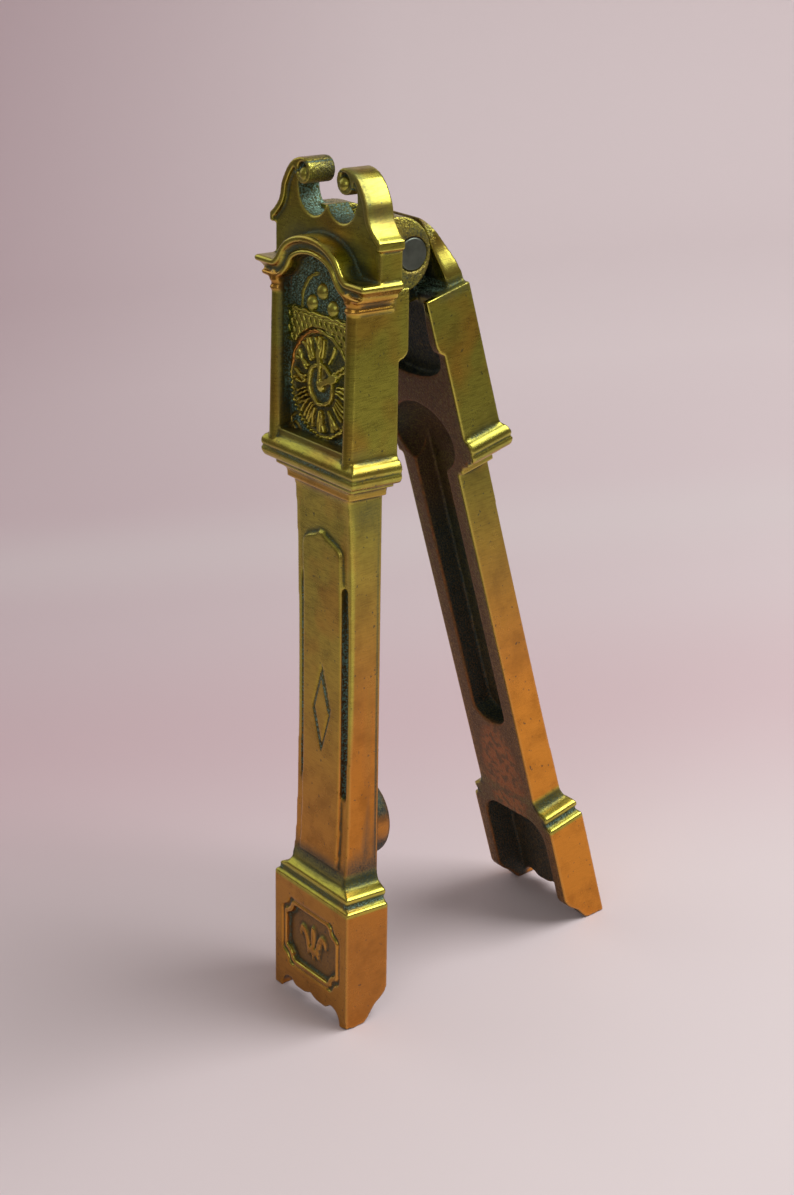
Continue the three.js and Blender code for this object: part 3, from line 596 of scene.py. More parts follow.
        # Orange share: the larger of the mark, painted reflection of the warm floor with some tone, and the
        # metal's random warm clouds.
        toned = shader.calc("MAXIMUM", marks[TONED], warm)
        colour = shader.blend(toned, self.upper, self.lower)
        mottle = shader.blend(toned, self.mottle, self.mottle_low)
        colour = shader.blend(shader.span(clouds, 0.46, 0.72, 0.0, 0.4), colour, mottle)
        fine = shader.times(shader.span(scratches, 0.46, 0.68, 0.0, 0.5),
                            shader.span(marks[TONED], 0.0, 1.0, 1.0, 0.3))
        colour = shader.blend(fine, colour, mottle)
        pits = shader.span(shader.noise(2.4 * self.fleck, 1.0), 0.7, 0.76, 0.0, 0.7)
        colour = shader.blend(pits, colour, self.brown)
        bare = shader.blend(marks[TONED], self.bare, self.bare_low)
        # Bright metal along edges where wear shows, and painted highlights where the highlight stains set the
        # mark.
        return shader.blend(shader.times(marks[WORN], 0.45), colour, bare)


@dataclass(frozen=True)
class SteelFinish:
    """Mild steel rod, cut and filed flush: dull grey with fine filing lines.

    Attributes:
        name: Name of the material.
        metal: Colour of the metal.
        dark: Colour of its oxide.
        oxide: Size of the oxide's clouds in millimetres.
        filing: Spacing of the filing lines in millimetres.
        line: Their length.
    """

    name: str = "filed_steel"
    metal: str = "7e857a"
    dark: str = "535a51"
    oxide: float = 1.0 / 0.7
    filing: float = 0.18
    line: float = 1.0 / 0.06

    def material(self) -> Material:
        """Builds the material: oxide clouds, and lines up and down the cut end."""
        shader = Shader(self.name)
        clouds = shader.noise(self.oxide, 3.0, 0.5)
        filed = shader.streaks((0.0, 0.0, 0.0), (self.line, self.filing, self.line), 2.0, 0.5)
        return shader.finished({
            "Base Color": shader.blend(clouds, self.metal, self.dark), "Metallic": 1.0, "Roughness": 0.42,
            "Normal": shader.bump(filed, 0.35, 0.03),
        })


@dataclass(frozen=True)
class PaperFinish:
    """Matt card of the studio sweep, graduated by painted shade of the light's falloff: pale in front, darker
    and pinker towards the back and the left.

    Attributes:
        name: Name of the material.
        colour: Colour of the card in front.
        shade: Its colour at the back, painted shade of the light's falloff.
        fall: Direction in which the shade grows.
        depth: Distances along it where the shade begins and is full, in metres.
        left: Direction in which the shade grows on the back of the sweep.
        reach: Distances along it where that shade begins and is full.
        least: Share of that shade where it begins.
        change: Distances from the object between which the second shade takes over from the first.
        back: Direction away from the camera, across the bands.
        bleached: Colour of a painted band of pale light across the card, its distance, half width and
            strength.
        blushing: Colour that deepens a painted band of pink bounce light in front of it, likewise.
    """

    name: str = "pink_card"
    colour: str = "e8ddde"
    shade: str = "cdb9be"
    fall: Triple = (-1.389, -0.261, 0.0)
    depth: tuple[float, float] = (-0.1, 0.28)
    left: Triple = (-0.564, -0.825, 0.0)
    reach: tuple[float, float] = (-0.01, 0.128)
    least: float = 0.25
    change: tuple[float, float] = (0.15, 0.3)
    back: Triple = (-0.825, 0.564, 0.0)
    bleached: tuple[str, float, float, float] = ("ded6d6", 0.178, 0.035, 0.36)
    blushing: tuple[str, float, float, float] = ("f4e0e5", 0.08, 0.07, 0.55)

    def material(self) -> Material:
        """Builds the matt material."""
        shader = Shader(self.name)
        # Painted falloff of the light: the card darkens and pinkens towards the back and the left.
        ahead = shader.span(shader.along(self.fall), *self.depth, 0.0, 1.0)
        behind = shader.span(shader.along(self.left), *self.reach, self.least, 1.0)
        away = shader.along(self.back)
        share = shader.mix(shader.span(away, *self.change, 0.0, 1.0), ahead, behind)
        colour = shader.blend(share, self.colour, self.shade)
        # Painted bands of light across the card: a pale band, and pink bounce in front of it.
        for band, way in ((self.bleached, "MIX"), (self.blushing, "MULTIPLY")):
            tint, centre, half, strength = band
            offset = shader.calc("ABSOLUTE", shader.calc("SUBTRACT", away, centre))
            within = shader.span(offset, half, 0.0, 0.0, strength, "SMOOTHSTEP")
            colour = shader.blend(within, colour, tint, way)
        return shader.finished({"Base Color": colour, "Roughness": 0.8, "Specular IOR Level": 0.2})


@dataclass(frozen=True)
class Stain:
    """A soft-edged place on an arm where a mark is strong.

    Attributes:
        mark: Mark that it sets.
        centre: Middle of the place in the arm's frame, in millimetres.
        radii: Half sizes along the frame's axes.
        amount: Strength of the mark, or below 0 the share of it that is cleared away.
        edge: Share of the radius over which it fades.
        core: Share of the radius inside which the place stays clear.
        power: Exponent of its outline: 2 for an ellipsoid, more for a rounded block.
    """

    mark: Mark
    centre: Triple
    radii: Triple
    amount: float = 1.0
    edge: float = 0.12
    core: float = 0.0
    power: float = 2.0

    def over(self, before: Array, points: Array) -> Array:
        """Lays the stain over a mark, or clears the mark where its amount is below 0.

        Args:
            before: Values of the mark.
            points: Points in the arm's frame.

        Returns:
            Values of the mark with the stain.
        """
        far_off = 9.0
        offsets = np.minimum(np.abs(points - self.centre) / self.radii, far_off)
        distance = (offsets ** self.power).sum(axis=1) ** (1.0 / self.power)
        inside = smoothstep(1.0 + self.edge, 1.0 - self.edge, distance) * (distance >= self.core)
        strength = self.amount * inside
        return np.maximum(before, strength) if self.amount > 0.0 else before * (1.0 + strength)


@dataclass(frozen=True)
class Dent:
    """A soft push in an arm's surface, where the file or wear has bent its line.

    Attributes:
        centre: Middle of the push in the arm's frame, in millimetres.
        radii: Half sizes along the frame's axes.
        push: How far the middle moves.
    """

    centre: Triple
    radii: Triple
    push: Triple

    def moves(self, points: Array) -> Array:
        """How each point moves.

        Args:
            points: Points in the arm's frame.

        Returns:
            Moves, three to a row.
        """
        offsets = (points - self.centre) / self.radii
        share = np.clip(1.0 - (offsets ** 2).sum(axis=1), 0.0, 1.0) ** 2
        return share[:, None] * np.array(self.push)


@dataclass
class Casting:
    """One brass arm: the CAD solid with its edges rounded by wear, and its patina, painted shade and painted
    highlights marked.

    Attributes:
        name: Name of the piece.
        node: CAD node that it stands for.
        body: Body that it rides on.
        slot: Record's material slot; not used.
        place: The arm's own frame.
        levels: Levels along the arm where its outline changes.
        faces: Outward distance of its outer face at these levels.
        halves: Its half width at these levels.
        inner: Outward distance of its inner lands.
        stains: Places where a mark is strong: patina, wear, painted shade and painted highlights.
        dents: Places where the surface is pushed in.
        voxel: Grid of the skin, in millimetres.
        rounding: Rounds of smoothing that wear the edges.
        reaches: Rounds of smoothing for the narrow, wide and broad dips, each on top of the last.
        budget: Most triangles that the piece may have.
    """

    name: str
    node: str
    body: Body
    slot: Slot
    place: ArmFrame
    levels: tuple[float, ...]
    faces: tuple[float, ...]
    halves: tuple[float, ...]
    inner: float
    stains: tuple[Stain, ...]
    dents: tuple[Dent, ...]
    voxel: float = 0.21
    rounding: int = 3
    reaches: tuple[int, ...] = (8, 40, 110)
    budget: int = 195000

    def build(self, frame: dict, material: Material) -> Object:
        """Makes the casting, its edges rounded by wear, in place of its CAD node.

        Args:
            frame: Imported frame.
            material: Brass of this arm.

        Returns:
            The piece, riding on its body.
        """
        world = self.place.to_world(frame)
        mesh = frame["nodes"][self.node].data.copy()
        mesh.transform(world.inverted())
        piece = linked(self.name, mesh)
        weld(piece, CAD_WELD)
        skin = piece.modifiers.new("skin", "REMESH")
        skin.mode = "VOXEL"
        skin.voxel_size = self.voxel
        apply_modifiers(piece)
        self._wear(piece.data, world)
        thin = piece.modifiers.new("thin", "DECIMATE")
        piece.data.calc_loop_triangles()
        thin.ratio = min(1.0, self.budget / len(piece.data.loop_triangles))
        apply_modifiers(piece)
        return seat(piece, world, material, self.body, self.node)

    def _wear(self, mesh: Mesh, world: Matrix) -> None:
        """Rounds the edges and writes the attributes that the finish reads.

        A dip is how far the surface lies below its own smoothed shape.

        Args:
            mesh: Dense mesh in the arm's frame.
            world: Place of the arm's frame in the part's frame.
        """
        points = read_vectors(mesh.vertices, "co")
        edges = np.empty(len(mesh.edges) * 2, np.int32)
        mesh.edges.foreach_get("vertices", edges)
        joined = Neighbours(edges.reshape(-1, 2), len(points))
        points = joined.relaxed(points, self.rounding)
        points = points + sum((dent.moves(points) for dent in self.dents), np.zeros_like(points))
        mesh.vertices.foreach_set("co", points.astype(np.float32).ravel())
        mesh.update()
        normals = read_vectors(mesh.vertices, "normal")
        soft, dips = points, []
        for rounds in self.reaches:
            soft = joined.relaxed(soft, rounds)
            dips.append(((soft - points) * normals).sum(axis=1))
        marks = self._marks(points, normals, dips)
        marks[TONED], film = self._toned(points, normals, world)
        marks[TARNISH] = np.maximum(marks[TARNISH], film)
        for stain in self.stains:
            marks[stain.mark] = stain.over(marks[stain.mark], points)
        write_marks(mesh, marks)

    @staticmethod
    def _toned(points: Array, normals: Array, world: Matrix) -> tuple[Array, Array]:
        """Share of orange in the polish, and of brown film over it.

        There is more orange towards the foot and under mouldings, and less on top of them: painted reflection
        of the warm floor, with some of the metal's own tone. The film lies on the sides, about the middle of
        the arm, and under the foot, where it is painted shade.

        Args:
            points: Points in the arm's frame.
            normals: Their normals.
            world: Place of the arm's frame in the part's frame.

        Returns:
            Values from 0 to 1 for both.
        """
        lift = np.array(world)[2]
        height = points @ lift[:3] + lift[3]
        upward = normals @ (lift[:3] / MM)
        level = points[:, 2]
        front = smoothstep(0.5, 0.9, np.abs(normals[:, 1]))
        moulded = smoothstep(-100.95, -100.55, level) * smoothstep(-94.8, -95.8, level)
        # Orange low down and on faces turned down, less on faces turned up: painted reflection of the warm
        # floor, with some of the metal's own tone.
        toned = smoothstep(0.092 - 0.016 * front, 0.045 - 0.02 * front, height)
        toned *= (1.0 - 0.85 * smoothstep(0.25, 0.65, upward)) * (1.0 - 0.9 * moulded) * (1.0 - 0.15 * front)
        toned = np.maximum(toned, 0.8 * smoothstep(-0.3, -0.8, upward) * (1.0 - moulded))
        film = 0.2 * smoothstep(0.038, 0.055, height) * smoothstep(0.098, 0.08, height) * (1.0 - front)
        # Dark film on faces turned down at the foot: painted shade under the foot.
        under = smoothstep(-0.2, -0.6, upward) * smoothstep(-110.0, -114.0, level)
        return toned, np.maximum(film, 0.85 * under)

    def _marks(self, points: Array, normals: Array,
               dips: list[Array]) -> dict[Mark, Array]:
        """Works out where the brass is green, brightened by wear, brown or grainy.

        A dip is positive in a hollow and negative on an edge. Brown lies inside the arm: away from its
        side walls and behind its outer face. It is partly patina and partly painted shade, as is the dark of
        the broad dips.

        Args:
            points: Points in the arm's frame.
            normals: Their normals.
            dips: Dips at three widths, narrow to broad, in millimetres.

        Returns:
            Values from 0 to 1 for each mark.
        """
        near, wide, broad = dips
        x, outward, level = points.T
        inward = -normals[:, 1]
        face = np.interp(level, self.levels, self.faces)
        half = np.interp(level, self.levels, self.halves)
        crease = np.maximum(smoothstep(0.04, 0.16, wide), smoothstep(0.12, 0.45, broad))
        crease = np.maximum(crease, smoothstep(0.012, 0.05, near))
        worn = smoothstep(0.01, 0.06, -near)
        behind_face = smoothstep(face - 1.0, face - 2.4, outward)
        within = smoothstep(half - 0.6, half - 1.5, np.abs(x)) * behind_face
        below_hinge = smoothstep(-7.0, -9.0, level)
        outer_edge = worn * smoothstep(half - 0.6, half - 0.2, np.abs(x))
        # Brown inside the arm, between the cheeks: partly patina, partly painted shade.
        brown = np.maximum(within, 0.9 * smoothstep(0.35, 0.8, inward) * behind_face)
        brown = brown * below_hinge * (1.0 - 0.9 * outer_edge)
        ears = smoothstep(5.2, 4.8, outward) * smoothstep(-6.0, -4.0, level)
        lands = smoothstep(0.3, 0.8, inward) * smoothstep(self.inner + 0.9, self.inner + 0.3, outward)
        rims = worn * within * below_hinge
        return {
            HOLLOW: 0.8 * crease * (1.0 - brown),
            WORN: worn * (1.0 - brown),
            # Broad dips darken: painted shade in the large hollows, with patina.
            TARNISH: np.maximum(brown, 0.6 * smoothstep(0.02, 0.3, broad) * (1.0 - 0.5 * crease)),
            GRAIN: np.clip(np.maximum(ears, 0.8 * brown), 0.0, 1.0),
            COPPER: np.maximum(0.5 * np.maximum(lands, outer_edge), 0.75 * rims),
        }


@dataclass
class DialRelief:
    """Carved dial of the clock: rings, Roman numerals, hands, fretted frieze and leafy corners.

    Places on it are u, the distance to the right of the dial's centre, and v, the distance above it.

    Attributes:
        half: Half of the carved field's width, in millimetres.
        foot: Level of its lower edge.
        centre: Level of the dial's centre.
        face: Outward distance of the field.
        back: Outward distance of the slab's back, inside the casting.
        arch_foot: Level where the arch springs.
        arch_half: Half of the arch's width.
        arch_rise: Its rise.
        rim: Radius of the outer ring.
        ring: Radius of the inner ring.
        numerals: Radii of the numerals' feet and heads.
        hub: Radius of the hub.
        minute: Long hand's degrees, anticlockwise from the right, and its length.
        hour: Short hand's, likewise.
        bar: Height of the bar over the frieze, above the centre.
        pitch: Spacing of the frieze's holes across and up.
        hole: Half sizes of a hole.
        relief: Height of the carving.
        rows: Points up the field.
        columns: Points across it.
    """

    half: float = 8.35
    foot: float = -27.7
    centre: float = -19.4
    face: float = 9.36
    back: float = 8.9
    arch_foot: float = -3.75
    arch_half: float = 6.9
    arch_rise: float = 4.8
    rim: float = 7.72
    ring: float = 2.95
    numerals: tuple[float, float] = (4.15, 6.85)
    hub: float = 1.1
    minute: tuple[float, float] = (92.0, 6.1)
    hour: tuple[float, float] = (25.0, 4.9)
    bar: float = 10.1
    pitch: tuple[float, float] = (1.28, 1.05)
    hole: tuple[float, float] = (0.32, 0.38)
    relief: float = 0.75
    rows: int = 360
    columns: int = 230

    def build(self, frame: dict, material: Material) -> Object:
        """Makes the carved field as a closed slab bedded in the casting.

        The slab's face is a grid that runs across the field, and from its foot to the arch over it.

        Args:
            frame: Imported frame.
            material: Brass of the front arm.

        Returns:
            The piece, riding on the front arm.
        """
        across = np.linspace(-self.half, self.half, self.columns)
        share = np.linspace(0.0, 1.0, self.rows)[:, None]
        round_top = np.sqrt(np.clip(1.0 - (across / self.arch_half) ** 2, 0.0, 1.0))
        top = self.arch_foot + self.arch_rise * round_top
        level = self.foot + share * (top - self.foot)
        u = np.broadcast_to(across, level.shape)
        v = level - self.centre
        height = self._height(u, v)
        face = np.stack([-u, self.face + height, level], axis=-1).reshape(-1, 3)
        index = np.arange(len(face)).reshape(level.shape)
        border = np.concatenate([index[0, :-1], index[:-1, -1], index[-1, :0:-1], index[:0:-1, 0]])
        bed = face[border].copy()
        bed[:, 1] = self.back
        below = len(face) + np.arange(len(border))
        walls = np.stack([border, below, np.roll(below, -1), np.roll(border, -1)], axis=1)
        faces = grid_faces(self.rows, self.columns)[:, ::-1].tolist() + walls.tolist() + [below.tolist()]
        piece = new_piece("dial_relief", np.concatenate([face, bed]), faces)
        marks = self._marks(u.ravel(), v.ravel(), height.ravel())
        write_marks(piece.data, {
            mark: np.concatenate([values, np.zeros(len(bed))]) for mark, values in marks.items()})
        return seat(piece, FRONT_FRAME.to_world(frame), material, Body.FRONT)

    def _marks(self, u: Array, v: Array, height: Array) -> dict[Mark, Array]:
        """Marks the low ground black and green, the high ground brightened by wear, and the rim's upper left
        orange.

        Args:
            u: Distance of each point to the right of the centre.
            v: Its distance above it.
            height: Its height.

        Returns:
            Values from 0 to 1 for each mark.
        """
        radius = np.hypot(u, v)
        low = smoothstep(0.42, 0.12, height)
        arch = smoothstep(self.bar + 0.1, self.bar + 0.5, v)
        eye = smoothstep(self.ring - 0.2, self.ring - 0.6, radius)
        corner = smoothstep(self.rim + 0.3, self.rim + 0.8, radius) * smoothstep(-2.0, -4.0, v)
        dusty = np.maximum(np.maximum(arch, 0.8 * eye), corner)
        rim = smoothstep(0.7, 0.4, np.abs(radius - self.rim))
        return {
            HOLLOW: low * (0.5 + 0.47 * dusty),
            WORN: smoothstep(0.35, 0.6, height),
            TARNISH: 0.6 * low,
            GRAIN: 0.9 * low,
            TONED: 0.9 * rim * smoothstep(0.5, -1.0, u) * smoothstep(0.0, 2.0, v),
        }

    def _height(self, u: Array, v: Array) -> Array:
        """Height of the carving over the field: the highest of its strokes, rings and grounds.

        The drawing is first bent by up to about a tenth of a millimetre, as a carver's hand does.

        Args:
            u: Distance to the right of the centre, seen from in front.
            v: Distance above it.

        Returns:
            Heights in millimetres.
        """
        u, v = (u + 0.07 * np.sin(1.9 * v + 0.7 * u) + 0.05 * np.sin(4.7 * u - 2.9 * v),
                v + 0.07 * np.sin(2.3 * u - 1.1 * v) + 0.05 * np.sin(5.3 * v + 3.1 * u))
        radius = np.hypot(u, v)
        turn = np.arctan2(u, v)
        beads = 0.7 + 0.3 * np.cos(58.0 * turn) * smoothstep(2.0, -3.0, v)
        hands = np.minimum(self._hand(u, v, *self.minute), self._hand(u, v, *self.hour) - 0.18)
        return np.maximum.reduce([
            0.14 * self._stipple(u, v),
            self.relief * beads * smoothstep(0.36, 0.14, np.abs(radius - self.rim)),
            self.relief * smoothstep(0.5, 0.14, np.abs(radius - self.ring)),
            self._numerals(radius, turn),
            self._corners(u, v, radius),
            self._frieze(u, v, radius),
            self._arch(u, v),
            0.95 * smoothstep(0.16, -0.12, hands),
            self.hub * np.sqrt(np.clip(1.0 - (radius / self.hub) ** 2, 0.0, 1.0)),
        ])

    @staticmethod
    def _stipple(u: Array, v: Array) -> Array:
        """Punched ground: three waves at different slants multiply to small bumps."""
        slants = ((9.7, 3.1), (-4.3, 10.9), (7.1, -8.3))
        waves = [0.5 + 0.5 * np.sin(a * u + b * v) for a, b in slants]
        return np.prod(waves, axis=0) ** 0.5

    @staticmethod
    def _hand(u: Array, v: Array, degrees: float, length: float) -> Array:
        """Signed distance from a hand that swells towards its pointed end.

        Args:
            u: Places across.
            v: Places up.
            degrees: Direction of the hand, anticlockwise from the right.
            length: Its length.

        Returns:
            Distances, negative inside the hand.
        """
        angle = math.radians(degrees)
        along = u * math.cos(angle) + v * math.sin(angle)
        aside = np.abs(v * math.cos(angle) - u * math.sin(angle))
        share = np.clip(along / length, 0.0, 1.0)
        width = 0.25 + 0.22 * np.sin(np.pi * share ** 2) - 0.25 * smoothstep(0.8, 1.0, share)
        return np.maximum(aside - width, np.maximum(-along, along - length))

    def _numerals(self, radius: Array, turn: Array) -> Array:
        """Height of the twelve Roman numerals, feet towards the centre, the short ones cut bolder.

        Args:
            radius: Distance from the centre.
            turn: Clockwise angle from the top.

        Returns:
            Heights in millimetres.
        """
        words = ("XII", "I", "II", "III", "IIII", "V", "VI", "VII", "VIII", "IX", "X", "XI")
        letters = {"I": ((0.0, 0.0),), "V": ((-0.5, 0.0), (0.5, 0.0)), "X": ((-0.5, 0.5), (0.5, -0.5))}
        widths = {"I": 0.64, "V": 0.98, "X": 1.05}
        low, high = self.numerals
        height = np.zeros(radius.shape)
        for hour, word in enumerate(words):
            offset = np.angle(np.exp(1j * (turn - hour * math.pi / 6)))
            tangent = (low + high) / 2 * offset
            bold = 0.43 - 0.05 * len(word)
            pen = -sum(widths[letter] for letter in word) / 2
            for letter in word:
                pen += widths[letter] / 2
                reach = 0.85 * widths[letter]
                for top, foot in letters[letter]:
                    ends = (pen + foot * reach, low), (pen + top * reach, high)
                    across = stroke(tangent, radius, *ends) / bold
                    ridge = np.sqrt(np.clip(1.0 - across ** 2, 0.0, 1.0))
                    height = np.maximum(height, (0.75 + 0.1 * math.sin(5.0 * hour + 9.0 * pen)) * ridge)
                pen += widths[letter] / 2
        return height

    def _corners(self, u: Array, v: Array, radius: Array) -> Array:
        """Leaves that curl out of the lower corners, outside the dial's rim.

        Each leaf is a spiral wave about its corner: angle plus a turn that grows with distance.

        Args:
            u: Places across.
            v: Places up.
            radius: Distance from the centre.

        Returns:
            Heights in millimetres.
        """
        side = np.abs(u) - 7.6
        rise = np.abs(v + 0.2) - 7.4
        distance = np.hypot(side, rise)
        swirl = np.arctan2(rise, side) * 5.0 + distance * 2.6
        leaf = 0.45 * (0.5 + 0.5 * np.sin(swirl)) * smoothstep(4.2, 1.0, distance)
        return leaf * smoothstep(self.rim + 0.35, self.rim + 0.6, radius) * smoothstep(1.0, 0.0, v)

    def _frieze(self, u: Array, v: Array, radius: Array) -> Array:
        """Fretted field over the dial: raised, with staggered rows of slanting oval holes, under a bar.

        Args:
            u: Places across.
            v: Places up.
            radius: Distance from the centre.

        Returns:
            Heights in millimetres.
        """
        wide, tall = self.pitch
        first_row = self.bar - 1.1
        bar = self.relief * smoothstep(0.36, 0.16, np.abs(v - self.bar))
        band = smoothstep(self.bar - 0.15, self.bar - 0.4, v) * smoothstep(4.4, 5.4, v)
        band = band * smoothstep(8.15, 8.4, radius)
        row = np.round((v - first_row) / tall)
        rise = v - first_row - tall * row
        along = u + wide / 2 * (row % 2.0) + 0.5 * rise
        aside = along - wide * np.round(along / wide)
        hole = np.hypot(aside / self.hole[0], rise / self.hole[1])
        return np.maximum(bar, 0.85 * self.relief * smoothstep(0.75, 1.1, hole) * band)

    def _arch(self, u: Array, v: Array) -> Array:
        """Ridge that follows the arch on its left, and a rough ground over the bar.

        Args:
            u: Places across.
            v: Places up.

        Returns:
            Heights in millimetres.
        """
        over = smoothstep(self.bar + 0.2, self.bar + 0.5, v)
        ridge = np.hypot((u + 0.4) / 4.7, (v - 11.0) / 5.0) - 1.0
        arched = 0.4 * smoothstep(0.1, 0.03, np.abs(ridge)) * smoothstep(1.0, -2.0, u)
        return over * np.maximum(arched, 0.3 * self._stipple(1.4 * u, 1.4 * v))


@dataclass
class Beads:
    """Round knobs cast on the front arm: the three balls in the arch and the eyes of the scrolls.

    Attributes:
        centres: Their centres in the arm's frame, in millimetres.
        radii: Their radii.
        rows: Points from pole to pole.
        columns: Points round.
        worn: How far wear has brightened them.
        tarnish: How much dark film they carry.
    """

    centres: tuple[Triple, ...] = (
        (0.0, 8.97, -5.8), (-2.6, 8.97, -7.9), (2.6, 8.97, -7.9), (-4.9, 8.87, 10.1), (4.9, 8.87, 10.1))
    radii: tuple[float, ...] = (1.36, 1.36, 1.36, 1.2, 1.2)
    rows: int = 25
    columns: int = 41
    worn: float = 0.4
    tarnish: float = 0.15

    def build(self, frame: dict, material: Material) -> Object:
        """Makes the knobs as spheres bedded in the casting.

        Args:
            frame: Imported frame.
            material: Brass of the front arm.

        Returns:
            The piece, riding on the front arm.
        """
        polar = np.linspace(0.0, math.pi, self.rows)[:, None]
        turn = np.linspace(0.0, 2.0 * math.pi, self.columns)
        ball = np.stack([np.sin(polar) * np.cos(turn), np.sin(polar) * np.sin(turn),
                         np.broadcast_to(np.cos(polar), (self.rows, self.columns))], axis=-1).reshape(-1, 3)
        balls = np.array(self.centres)[:, None] + np.array(self.radii)[:, None, None] * ball
        starts = np.arange(len(self.radii))[:, None, None] * len(ball)
        faces = (starts + grid_faces(self.rows, self.columns)[:, ::-1]).reshape(-1, 4)
        piece = new_piece("cast_knobs", balls.reshape(-1, 3), faces.tolist())
        weld(piece, SEAM_WELD)
        apply_modifiers(piece)
        alike = np.ones(len(piece.data.vertices))
        write_marks(piece.data, {WORN: self.worn * alike, TARNISH: self.tarnish * alike})
        return seat(piece, FRONT_FRAME.to_world(frame), material, Body.FRONT)


@dataclass
class HingePin:
    """Steel rod through the hinge, filed flush with the ears.

    Attributes:
        radius: Radius of the rod in millimetres.
        half: Half of its length.
        edge: Worn edge of its ends.
        segments: Points round the rod.
    """

    radius: float = 2.38
    half: float = 8.55
    edge: float = 0.28
    segments: int = 96

    def build(self, frame: dict, material: Material) -> Object:
        """Turns the rod's profile about the pin's axis.

        Args:
            frame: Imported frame.
            material: Steel.

        Returns:
            The piece, riding on the front arm.
        """
        bend = np.linspace(0.0, math.pi / 2, 6)
        radii = self.radius - self.edge * (1.0 - np.cos(bend))
        ends = self.half - self.edge * (1.0 - np.sin(bend))
        r = np.concatenate([[0.0], radii[::-1], radii, [0.0]])
        x = np.concatenate([[-self.half], -ends[::-1], ends, [self.half]])
        angle = np.linspace(0.0, 2.0 * math.pi, self.segments, endpoint=False)[:, None]
        along = np.broadcast_to(x, (self.segments, len(x)))
        points = np.stack([along, r * np.cos(angle), r * np.sin(angle)], axis=-1)
        rows = np.concatenate([points, points[:1]]).reshape(-1, 3)
        piece = new_piece("steel_pin", rows, grid_faces(self.segments + 1, len(x)).tolist())
        weld(piece, SEAM_WELD)
        apply_modifiers(piece)
        return seat(piece, FRONT_FRAME.to_world(frame), material, Body.FRONT, "hinge_pin")


@dataclass(frozen=True)
class Lamp:
    """A square soft lamp that faces the object.

    Attributes:
        name: Name of the lamp.
        way: Direction from the object to the lamp.
        distance: Distance in metres.
        size: Side of the lamp in metres.
        power: Power in watts.
        aim: Height on the object that it faces.
    """

    name: str
    way: Triple
    distance: float
    size: float
    power: float
    aim: float = 0.06

    def hang(self) -> None:
        """Puts the lamp into the scene."""
        data = bpy.data.lights.new(self.name, "AREA")
        data.shape = "SQUARE"
        data.size = self.size
        data.energy = self.power
        back = unit(self.way)
        side = unit(np.cross((0.0, 0.0, 1.0), back))
        place = back * self.distance + np.array((0.0, 0.0, self.aim))
        linked(self.name, data).matrix_world = posed([side, np.cross(back, side), back], place)


